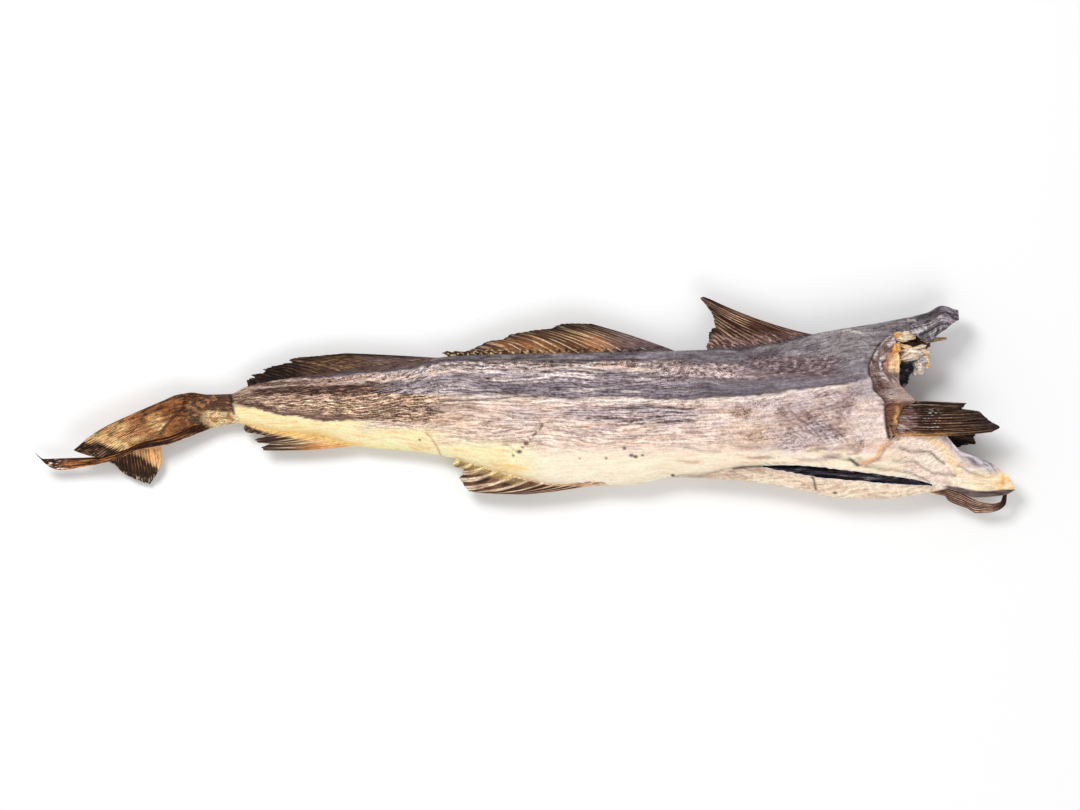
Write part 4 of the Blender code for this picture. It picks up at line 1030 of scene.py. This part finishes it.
def rear_anal_colours(x, y, u, w, ridge):
    """Return golden web by the root, then dark brown with fine cream rays, darkest at its rear tips."""
    border = np.interp(x, (-203, -190, -175, -160, -140, -120), (-13, -18, -21.6, -24.2, -28.6, -32.6))
    web = ease(y, border + 0.4, border - 2.4) * ease(x, -140, -176)
    tips = ease(x, -166, -184) * (0.8 + 0.4 * patchy(u * 17, w * 3, 119))
    lit = ridge ** 2 * shine(u, w, 118, 30, 4)
    return coated(
        tinted(x, (255, 214, 146), 0.4, 0.3),
        ((236, 150, 78), 0.7 * between(x, -160, -116, 8) * ease(y, -26, -30)),
        ((112, 68, 46), 0.9 * web),
        ((56, 34, 30), 0.9 * web * ease(ridge, 0.6, 0.15) * (0.6 + 0.4 * shine(u, w, 36, 30, 4))),
        ((62, 40, 36), 0.92 * tips * web),
        ((255, 232, 200), 0.95 * lit * (1 - 0.35 * tips)),
        ((252, 214, 138), 0.9 * ease(y, belly_line(x) - 3.5, belly_line(x) - 1.0) * ease(x, -192, -176)),
    )


def front_anal_colours(x, y, u, w, ridge):
    """Return golden yellow by the root, then brown web with cream rays."""
    root = ease(y, belly_line(x) - 8, belly_line(x) - 2) * ease(x, 8, -14)
    return coated(
        tinted(x, (132, 84, 58), 0.5, 0.35),
        ((224, 166, 120), 0.8 * ease(w, 0.95, 0.5) * shine(u, w, 122, 16, 3)),
        ((232, 180, 150), 0.6 * ease(x, 0, 30)),
        ((58, 32, 25), 0.95 * ease(ridge, 0.6, 0.15) * (0.5 + 0.5 * shine(u, w, 35, 20, 3))),
        ((255, 234, 204), 0.98 * ridge ** 1.5 * (0.4 + 0.6 * shine(u, w, 121, 20))),
        ((255, 226, 150), 0.8 * root * (0.4 + 0.6 * ridge)),
        ((250, 218, 178), 0.9 * ease(y, belly_line(x) - 1.4, belly_line(x) - 0.2)),
    )


fin_piece(
    "dorsal_fin_third",
    ((-199, 13), (-170, 19.5), (-140, 23.5), (-100, 29.5), (-55, 37)),
    ((-200, 15.5), (-201, 19), (-196.5, 20.5), (-197.5, 21.5), (-188, 24), (-190, 25.5), (-184, 27.6),
     (-172, 31), (-171, 33), (-150, 35.6), (-128, 37.4)),
    cells=(360, 48), rays=22, paint=third_dorsal_colours, seed=201,
    sink=-FIN_SINK, bow=(-0.10, -0.005), ragged=(0.22, 0.02))
fin_piece(
    "dorsal_fin_second",
    ((-52, 35), (0, 37), (60, 38), (119, 38.5)),
    ((-60, 37.5), (-55.5, 39), (-53, 37.6), (-51, 39), (-45, 38.4), (-38, 40.5), (-30, 44.5), (-25, 46.3),
     (-16, 47.5), (-11, 51), (0, 53), (10, 54.6), (19, 55), (25, 58.7), (35, 59), (48, 58.7)),
    cells=(520, 64), rays=24, paint=second_dorsal_colours, seed=211,
    sink=-FIN_SINK, bow=(-0.11, -0.015), ragged=(0.10, 0.03))
fin_piece(
    "dorsal_fin_first",
    ((134, 40), (170, 42.5), (190, 46.5), (216, 52.6)),
    ((131, 42), (133, 48), (132.5, 52), (135, 55), (137.5, 56), (136.5, 60), (134.5, 66), (132, 70),
     (129, 74), (126.5, 77), (128, 78), (134, 76.2)),
    cells=(360, 80), rays=18, paint=first_dorsal_colours, seed=221,
    sink=-FIN_SINK, bow=(0.0, 0.033), ragged=(0.08, 0.0))
fin_piece(
    "anal_fin_rear",
    ((-201, -15.5), (-150, -22), (-113, -31)),
    ((-202.5, -16.8), (-200.6, -19.6), (-187, -22.4), (-194.8, -25.4), (-193, -27), (-184.5, -28),
     (-190.4, -31), (-188, -32.7)),
    cells=(300, 80), rays=11, paint=rear_anal_colours, seed=231,
    sink=FIN_SINK, bow=(0.04, 0.028), ragged=(0.04, 0.04))
fin_piece(
    "anal_fin_front",
    ((-47, -39.5), (-10, -49.5), (25, -57.5), (66, -58)),
    ((-52, -41), (-51, -44), (-44, -46.5), (-45, -50), (-47, -52), (-45, -56), (-40, -62), (-25, -63.8),
     (-2, -64.6)),
    cells=(340, 80), rays=10, paint=front_anal_colours, seed=241,
    sink=FIN_SINK, bow=(0.12, 0.02), ragged=(0.08, 0.02))

# ----------
# Tail: the dried tail fin, folded on itself. The upper lobe lies on top, the lower lobe
# is rolled into a dark strip along it and behind it, and a golden flap hangs below.

# Golden patches, partly painted highlights: middle, half length, half depth and strength.
GOLD_AND_HIGHLIGHT_PATCHES = ((-266, -13, 7, 7, 0.75), (-293, -16, 8, 4.5, 0.9), (-279, -24, 9, 5, 0.7))


def tail_upper_colours(x, y, u, w, ridge):
    """Return brown near the root, gold between dark streaks further out, the gold patches partly painted
    highlights, and a black band at the tip.
    """
    out = ease(x, -250, -262)
    gold = np.zeros(x.shape)
    for cx, cy, rx, ry, amount in GOLD_AND_HIGHLIGHT_PATCHES:
        gold = np.maximum(gold, amount * spot(x, y, cx, cy, rx, ry))
    rail = distance_to(x, y, ((-315, -21), (-300, -25.5), (-287, -31.5)))
    # The strongest golden patch, along this path, is also partly a painted highlight.
    gold = np.maximum(gold, 1.3 * bell(rail, 4.2))
    gold = np.clip(1.2 * gold + 0.3 * cloudy(x / 10, y / 4, 123, 2), 0, 1)
    furrow = (1 - ridge) * (1 - 0.8 * gold)
    fleshy = ease(x, -263, -248)
    specks = distance_to(x, y, ((-263.6, -18.8), (-255, -6.8)))
    band = np.interp(x, (-325, -316, -305.6, -290.6, -280), (-26, -27.6, -29, -34.4, -42)) + 2.6 * (1 - ridge)
    band = band + 1.6 * patchy(x / 3, y / 3, 126)
    return coated(
        tinted(x, (238, 158, 94), 0.4, 0.4),
        ((255, 218, 154), out * gold),
        ((255, 228, 176), 0.85 * out * ridge * (0.4 + 0.6 * shine(w, u, 139, 3, 16)) * (0.4 + 0.6 * gold)),
        ((104, 52, 28), 0.85 * out * furrow * (0.3 + 0.7 * shine(w, u, 140, 12, 6))),
        ((112, 60, 36), 0.6 * out * (1 - 0.5 * gold) * lenses(x + 1.1 * y, y - 0.6 * x, 128, 7, 2.0)),
        ((78, 46, 27), fleshy * (0.8 + 0.3 * cloudy(x / 5, y / 4, 124, 2))),
        ((214, 148, 78), 0.75 * fleshy * ease(x, -246, -256) * ease(y, -6, -14)),
        ((196, 136, 86), 0.6 * fleshy * lenses(x + 0.5 * y, y - 0.5 * x, 125, 3, 1.2, 0.1, 0.4)),
        ((46, 26, 18), 0.6 * fleshy * lenses(x, y, 138, 4, 1.3, 0.15, 0.45)),
        ((58, 32, 20), 0.75 * bell(distance_to(x, y, ((-238, 5), (-250, -6), (-262, -20))), 1.2)),
        ((255, 232, 180), 0.95 * bell(specks, 0.9) * ease(patchy(x / 1.4, y / 1.4, 34), -0.1, 0.3)),
        ((36, 19, 12), 0.97 * ease(y, band + 2.0, band - 1.8)),
        ((192, 148, 112), 0.85 * ease(y, band - 1.6, band - 3.6) * ridge ** 1.5 * shine(w, u, 141, 6, 30)),
        ((70, 40, 26), 0.8 * ease(w, 0.05, 0.0)),
    )


def tail_lower_colours(x, y, u, w, ridge):
    """Return a dark reddish brown roll with lit streaks along it and pale glints at its curled end."""
    wide = ease(x, -286, -296) * ease(w, 0.12, 0.4)
    curl = ease(x, -328, -336)
    return coated(
        tinted(x, (86, 44, 24), 0.5, 0.8),
        ((206, 138, 82), 0.65 * wide * (0.4 + 0.6 * shine(w, u, 142, 5, 10))),
        ((214, 156, 104), 0.7 * ridge ** 2 * shine(w, u, 127, 6, 20) * ease(x, -234, -250)),
        ((226, 176, 128), 0.85 * ease(w, 0.86, 0.97) * shine(u, w, 143, 40, 1)),
        ((88, 50, 38), 0.8 * curl),
        ((252, 232, 212), 0.95 * curl * lenses(x + 1.2 * y, y - 0.3 * x, 144, 3.4, 1.0, 0.1, 0.35)),
        ((44, 24, 16), 0.7 * ease(w, 0.14, 0.04) * ease(x, -280, -300)),
    )


def tail_flap_colours(x, y, u, w, ridge):
    """Return golden with tan stripes by the root and a black-brown band along the outer edge."""
    rim = np.interp(x, (-294, -284, -277, -272, -263.6, -260), (-38, -35.6, -38, -41.6, -47, -50))
    rim = rim + 1.6 * (1 - ridge) + patchy(x / 2, y / 2, 130)
    dark = ease(y, rim + 2.2, rim - 2.0)
    return coated(
        tinted(x, (252, 190, 120), 0.35, 0.25),
        ((255, 236, 188), 0.9 * ridge * (0.4 + 0.6 * shine(u, w, 129, 30, 3))),
        ((168, 98, 52), 0.6 * (1 - ridge) * shine(u, w, 137, 20, 3)),
        ((255, 238, 196), 0.8 * spot(x, y, -275, -34, 7, 2.2) * ridge),
        ((38, 20, 13), 0.97 * dark),
        ((178, 126, 82), 0.75 * dark * ridge ** 2 * ease(w, 0.85, 0.45) * shine(u, w, 33, 30, 8)),
        ((214, 184, 160), 0.75 * ease(w, 0.84, 0.92) * ease(patchy(u * 50, w * 14, 131), 0.1, 0.5)),
    )


fin_piece(
    "tail_upper_lobe",
    ((-228, 6.6), (-240, 8.6), (-250, 7.4), (-260, 3.2), (-280, -5.4), (-300, -14.8), (-310, -20.8),
     (-324, -32.4)),
    ((-234, -19), (-256, -27.5), (-275, -29.5), (-290, -33.5), (-298, -36.2), (-306, -37.6), (-312, -36.7),
     (-322, -33.6)),
    cells=(260, 220), rays=40, paint=tail_upper_colours, seed=251,
    lengthwise=True, fan=(-239.0, 11.0, 0.40, 1.15),
    thick=(2.2, 1.0), rise=0.5, folds=2.5, fold_depth=0.8,
    heights=(((0, 14), (0.5, 17), (1, 22)), ((0, 13.5), (0.4, 18.5), (1, 22))))
fin_piece(
    "tail_lower_strip",
    ((-226, -12.5), (-240, -15.8), (-256, -22.6), (-272, -26), (-289, -32.8), (-308, -37.4), (-333, -38.4),
     (-346, -38.8), (-352.3, -34.4)),
    ((-226, -16.8), (-240, -22.4), (-260, -29.4), (-279, -33), (-292, -38.5), (-306, -42.5), (-322, -45.5),
     (-335, -47), (-342, -44.8), (-350, -37.2)),
    cells=(280, 24), rays=3, paint=tail_lower_colours, seed=261,
    lengthwise=True, thick=(2.6, 1.6), rise=1.0,
    heights=(((0, 13.5), (0.12, 16.5), (0.5, 22.5), (0.68, 17), (0.85, 13), (1, 18)),
             ((0, 12.8), (0.12, 15), (0.5, 20.5), (0.68, 14), (0.85, 12), (1, 17))))
fin_piece(
    "tail_flap",
    ((-262.3, -24), (-272, -26.5), (-285, -29.5), (-301, -35)),
    ((-261.4, -43), (-263.5, -47), (-268, -54), (-271, -57.6), (-275, -56.5), (-285, -52), (-291.5, -48),
     (-295, -43.5), (-300, -41)),
    cells=(200, 70), rays=19, paint=tail_flap_colours, seed=271,
    thick=(2.0, 1.0), ragged=(0.03, 0.05), folds=2.5, fold_depth=0.7,
    heights=(((0, 16), (1, 18)), ((0, 9), (0.5, 5), (1, 11))))

# ----------
# Pectoral and pelvic fins: the near pectoral points forward from its brown root on the
# collar, the far one shows below it, and the pelvic fin curls up under the throat.


def pectoral_colours(x, y, u, w, ridge):
    """Return pinkish brown by the root, then dark brown with fine rays, glints and a golden lower edge."""
    rows = lenses(x + 0.3 * y, y, 144, 1.2, 1.0, 0.1, 0.35) * between(x, 286, 297, 3)
    return coated(
        tinted(x, (80, 48, 38), 0.5, 0.55),
        ((142, 108, 96), 0.85 * ease(x, 290, 272)),
        ((116, 70, 44), 0.7 * between(y, -18, -9, 3) * ease(x, 276, 290) * ease(x, 326, 304)),
        ((40, 24, 22), 0.85 * ease(x, 288, 320) * ease(y, -20, -13)),
        ((28, 19, 24), 0.9 * ease(y, -3.4, -0.6) * ease(x, 264, 270)),
        ((206, 168, 136), 0.7 * ridge ** 1.5 * shine(u, w, 132, 50, 3) * (1 - 0.5 * w)),
        ((44, 25, 21), 0.75 * ease(ridge, 0.6, 0.2) * ease(x, 274, 286)),
        ((255, 248, 240), 0.95 * rows * ease(ridge, 0.3, 0.6) * between(y, -17, -3, 2)),
        ((222, 206, 208), 0.6 * lenses(x, y, 32, 5, 0.9, 0.1, 0.4) * ease(x, 286, 276)),
        ((54, 38, 42), 0.8 * ease(x, 316, 332) * ease(y, -19, -15)),
        ((232, 176, 110), 0.65 * ease(y, -18.5, -20.8) * ease(x, 316, 290)),
    )


def far_pectoral_colours(x, y, u, w, ridge):
    """Return nearly black with faint brown rays."""
    return coated(
        tinted(x, (34, 24, 20), 0.5),
        ((116, 84, 58), 0.75 * ridge ** 2 * shine(u, w, 134, 20, 4)),
    )


def pelvic_colours(x, y, u, w, ridge):
    """Return tan rays on brown, golden by the root and darker at the curl."""
    return coated(
        tinted(x, (88, 53, 44), 0.4, 0.15),
        ((255, 216, 188), 0.95 * ridge * ease(x, 348, 334) * (0.35 + 0.65 * shine(w, u, 135, 12, 10))),
        ((238, 186, 120), 0.8 * ease(x, 302, 292)),
        ((58, 40, 38), 0.6 * ease(x, 334, 344) * (1 - ridge)),
    )


fin_piece(
    "pectoral_fin_near",
    ((262, 3.6), (261, -8), (262, -21.5)),
    ((318, 1.4), (314.5, -2.2), (326, -4.5), (330, -7.5), (335, -12), (341, -16), (335, -19.5)),
    cells=(200, 150), rays=15, paint=pectoral_colours, seed=281,
    thick=(3.4, 1.0), ragged=(0.03, 0.0), bow=(0.004, -0.024),
    rise=0.5, folds=3, fold_depth=0.7,
    heights=(((0, 40), (0.5, 42.5), (1, 41)), ((0, 35), (0.5, 34), (1, 36))))
fin_piece(
    "pectoral_fin_far",
    ((258, 2), (258, -24)),
    ((318, -12), (326, -20.5), (326.5, -28), (320, -29), (313, -31)),
    cells=(80, 70), rays=12, paint=far_pectoral_colours, seed=291,
    thick=(3.0, 1.0), ragged=(0.06, 0.06), folds=2, fold_depth=0.6,
    heights=(((0, 6), (1, 5)), ((0, 11), (1, 9))))
fin_piece(
    "pelvic_fin",
    ((288, -58), (303, -59.8), (312, -62), (323, -67.2), (330, -70), (338, -71), (343.4, -69.6),
     (345, -64.6)),
    ((286, -60.5), (298, -64.5), (303, -65.5), (306, -69), (320, -75), (326, -78), (333, -78), (342, -76),
     (347.4, -71), (348, -64.6)),
    cells=(240, 80), rays=7, paint=pelvic_colours, seed=301,
    lengthwise=True, thick=(2.4, 1.2),
    heights=(((0, 19), (0.7, 15), (1, 17)), ((0, 18), (0.7, 13), (1, 16))))

# ----------
# Torn neck: the stump where the head was cut off, lumps and shreds of dried flesh
# between the nape and the collar, and a black scrap of the gill cavity's membrane.


def lump_piece(name, centre, radii, turn, phase, tone, second_tone, rings=60, sides=90):
    """Make a fibrous lump: an ellipsoid along X whose radius wavers in lobes and fine fibres, with painted
    shade where the fibres dip.
    """
    lat = np.linspace(0, math.pi, rings + 1)[:, None] * np.ones(sides + 1)
    lon = np.linspace(0, 2 * math.pi, sides + 1) * np.ones((rings + 1, 1))
    lobes = 0.16 * np.sin(3 * lon + phase) * np.sin(lat) + 0.11 * np.sin(5 * lat + phase + 2 * lon)
    wrap = np.abs(lon / math.pi - 1) * 9
    fibre = 0.12 * patchy(lat * 3 + phase, wrap * 2.2, 401) + 0.09 * patchy(lat * 7, wrap * 5, 402)
    size = 1 + lobes + fibre * np.sin(lat)
    round_x = size * np.sin(lat)
    points = np.stack([size * np.cos(lat), round_x * np.cos(lon), round_x * np.sin(lon)], -1) * radii
    cos, sin = math.cos(turn), math.sin(turn)
    x = points[..., 0] * cos - points[..., 1] * sin + centre[0]
    y = points[..., 0] * sin + points[..., 1] * cos + centre[1]
    colours = coated(
        tinted(x, tone, 0.15, 0.25),
        (second_tone, ease(cloudy(lat * 2 + phase, wrap * 0.9, 403), 0.0, 0.35)),
        # painted shade in the crevices where the fibres dip
        ((132, 86, 62), 0.85 * ease(fibre, -0.03, -0.13)),
    )
    number = np.arange((rings + 1) * (sides + 1)).reshape(rings + 1, sides + 1)
    faces = np.stack([number[:-1, :-1], number[:-1, 1:], number[1:, 1:], number[1:, :-1]], -1)
    stacked = np.stack([x, y, points[..., 2] + centre[2]], -1).reshape(-1, 3)
    flow = np.stack([lat * radii[0], wrap * radii[1] / 6], -1)
    piece = surface_piece(name, stacked, faces.reshape(-1, 4).tolist(), colours, flow, flesh_finish)
    weld(piece)
    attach(piece, "root")


flesh_finish = dried_material("dried_flesh", roughness=0.45, fleck_size=0.0014, stretch=2.5, bump=0.0003)
# The dark reddish flesh tone also stands in for shade in the neck's hollow.
GOLD, CREAM, DARK_FLESH_AND_SHADE, ASH = (255, 196, 122), (255, 240, 222), (96, 60, 48), (200, 188, 190)
# Lumps: name, centre, radii, turn, phase, tone and second tone. The core and the far stump are dark flesh
# whose darkness is partly painted shade in the neck's hollow, and the recess is a dark lump set as painted
# shade between the lumps and the nape.
LUMPS = (
    ("stump_core", (262, 33, 19), (17, 19, 12), 0.1, 0.4, DARK_FLESH_AND_SHADE, (70, 50, 46)),
    ("stump_top", (271.5, 48.8, 31), (8.6, 3.6, 6), 0.03, 1.3, (255, 240, 218), (246, 206, 156)),
    ("stump_recess", (278, 45, 21), (13, 6, 8), -0.1, 1.9, (66, 44, 42), (104, 70, 58)),
    ("stump_gold", (266, 40.5, 38), (3.4, 4.4, 5), -0.3, 2.1, (248, 176, 96), (255, 224, 170)),
    ("stump_curl", (268.2, 49.6, 34), (3.4, 2.3, 3.6), 0.1, 0.8, (248, 182, 104), (255, 226, 178)),
    ("stump_edge", (267, 32, 33), (2.6, 8.5, 6), 0.12, 2.6, (246, 196, 136), CREAM),
    ("stump_shred_high", (280, 38.6, 29), (11.5, 3.4, 5), -0.08, 3.0, CREAM, ASH),
    ("stump_shred_middle", (277.5, 34.6, 29), (9, 3.2, 5), 0.3, 3.7, CREAM, GOLD),
    ("stump_shred_end", (286.5, 35, 26), (4.6, 6.4, 6), 0.2, 0.9, ASH, CREAM),
    ("stump_shred_low", (283.5, 28, 23), (4.6, 6.2, 6), -0.15, 4.2, CREAM, ASH),
    ("stump_string_high", (274, 41.6, 32), (6.2, 1.5, 2.2), -0.3, 1.1, (255, 228, 192), GOLD),
    ("stump_string_middle", (283, 41.2, 32), (5.4, 1.4, 2.2), 0.28, 2.3, (255, 234, 206), CREAM),
    ("stump_string_low", (273.5, 36.6, 33), (4.6, 1.4, 2.0), 0.55, 3.4, CREAM, GOLD),
    ("stump_string_end", (287.6, 38.2, 31), (3.2, 1.3, 2.0), -0.9, 4.6, (246, 196, 136), CREAM),
    ("stump_fleck", (289, 33, 27), (2.2, 5.5, 4), 0.15, 5.4, GOLD, CREAM),
    ("stump_far", (259, 22, 12), (12, 15, 8), 0.2, 5.0, DARK_FLESH_AND_SHADE, (70, 50, 46)),
)
for lump_row in LUMPS:
    lump_piece(*lump_row)


def membrane_colours(x, y, u, w, ridge):
    """Return blue-black with a grey sheen on its folds."""
    return coated(
        tinted(x, (34, 30, 38), 0.5),
        ((160, 158, 172), 0.7 * shine(u, w, 136, 5, 5) * ease(patchy(u * 7, w * 6, 138), 0.1, 0.6)),
    )


def shred_colours(x, y, u, w, ridge):
    """Return pale tan."""
    return tinted(x, (232, 196, 150), 0.5)


fin_piece(
    "gill_membrane",
    ((264, 31), (264, 12)),
    ((280, 31), (280.6, 25), (277.6, 21), (276.6, 16.5), (272.6, 12.6)),
    cells=(80, 60), rays=5, paint=membrane_colours, seed=311, material=lining_finish,
    thick=(1.6, 0.8), ragged=(0.14, 0.14),
    rise=1.2, folds=1.5, fold_depth=1.4, heights=(((0, 34), (1, 33)), ((0, 30), (1, 28))))
fin_piece(
    "nape_shred",
    ((284, 49), (286, 43.6)),
    ((304.5, 48.6), (304, 47)),
    cells=(12, 40), rays=2, paint=shred_colours, seed=321, material=flesh_finish,
    thick=(2.0, 0.8),
    heights=(((0, 26), (1, 26)), ((0, 25), (1, 25))))

# ----------
# Ground, lights and camera: a plain white board under two large soft lamps, seen from
# straight above.


def plain_material(name, colour, roughness):
    """Make a flat, even material for the board."""
    material = bpy.data.materials.new(name)
    material.use_nodes = True
    shader = material.node_tree.nodes["Principled BSDF"]
    shader.inputs["Base Color"].default_value = (*colour, 1)
    shader.inputs["Roughness"].default_value = roughness
    shader.inputs["Specular IOR Level"].default_value = 0.1
    return material


BOARD_REACH = 6.0           # half the side of the board, metres
board_mesh = bpy.data.meshes.new("board")
drop = cad_box[0][2] - 0.0002
corners = [(x * BOARD_REACH, y * BOARD_REACH, drop) for x, y in ((-1, -1), (1, -1), (1, 1), (-1, 1))]
board_mesh.from_pydata(corners, [], [(0, 1, 2, 3)])
board_mesh.materials.append(plain_material("white_board", (0.93, 0.93, 0.93), 0.9))
board = bpy.data.objects.new("board", board_mesh)
bpy.context.scene.collection.objects.link(board)

surround = bpy.data.worlds.new("surround")
surround.use_nodes = True
surround.node_tree.nodes["Background"].inputs["Color"].default_value = (1, 1, 1, 1)
surround.node_tree.nodes["Background"].inputs["Strength"].default_value = 0.5
bpy.context.scene.world = surround


def soft_lamp(name, where, size, power):
    """Hang a square soft lamp that faces the middle of the fish."""
    lamp = bpy.data.lights.new(name, "AREA")
    lamp.shape, lamp.size, lamp.energy = "SQUARE", size, power
    holder = bpy.data.objects.new(name, lamp)
    holder.location = where
    holder.rotation_euler = (-Vector(where)).to_track_quat("-Z", "Y").to_euler()
    bpy.context.scene.collection.objects.link(holder)


soft_lamp("key_lamp", (-0.7, 0.9, 1.6), size=0.7, power=22)
soft_lamp("fill_lamp", (0.7, -1.1, 1.5), size=1.2, power=11)

VIEW_WIDTH = 0.7776         # width of the ground that the picture takes in, metres
VIEW_MIDDLE_X = 0.0110
LENS, SENSOR = 150.0, 36.0
camera_data = bpy.data.cameras.new("camera")
camera_data.lens, camera_data.sensor_width = LENS, SENSOR
camera = bpy.data.objects.new("camera", camera_data)
middle_height = 0.4 * (cad_box[1][2] - cad_box[0][2])
camera.location = (VIEW_MIDDLE_X, MID_Y, middle_height + VIEW_WIDTH * LENS / SENSOR)
bpy.context.scene.collection.objects.link(camera)
bpy.context.scene.camera = camera
bpy.context.scene.view_settings.view_transform = "Standard"
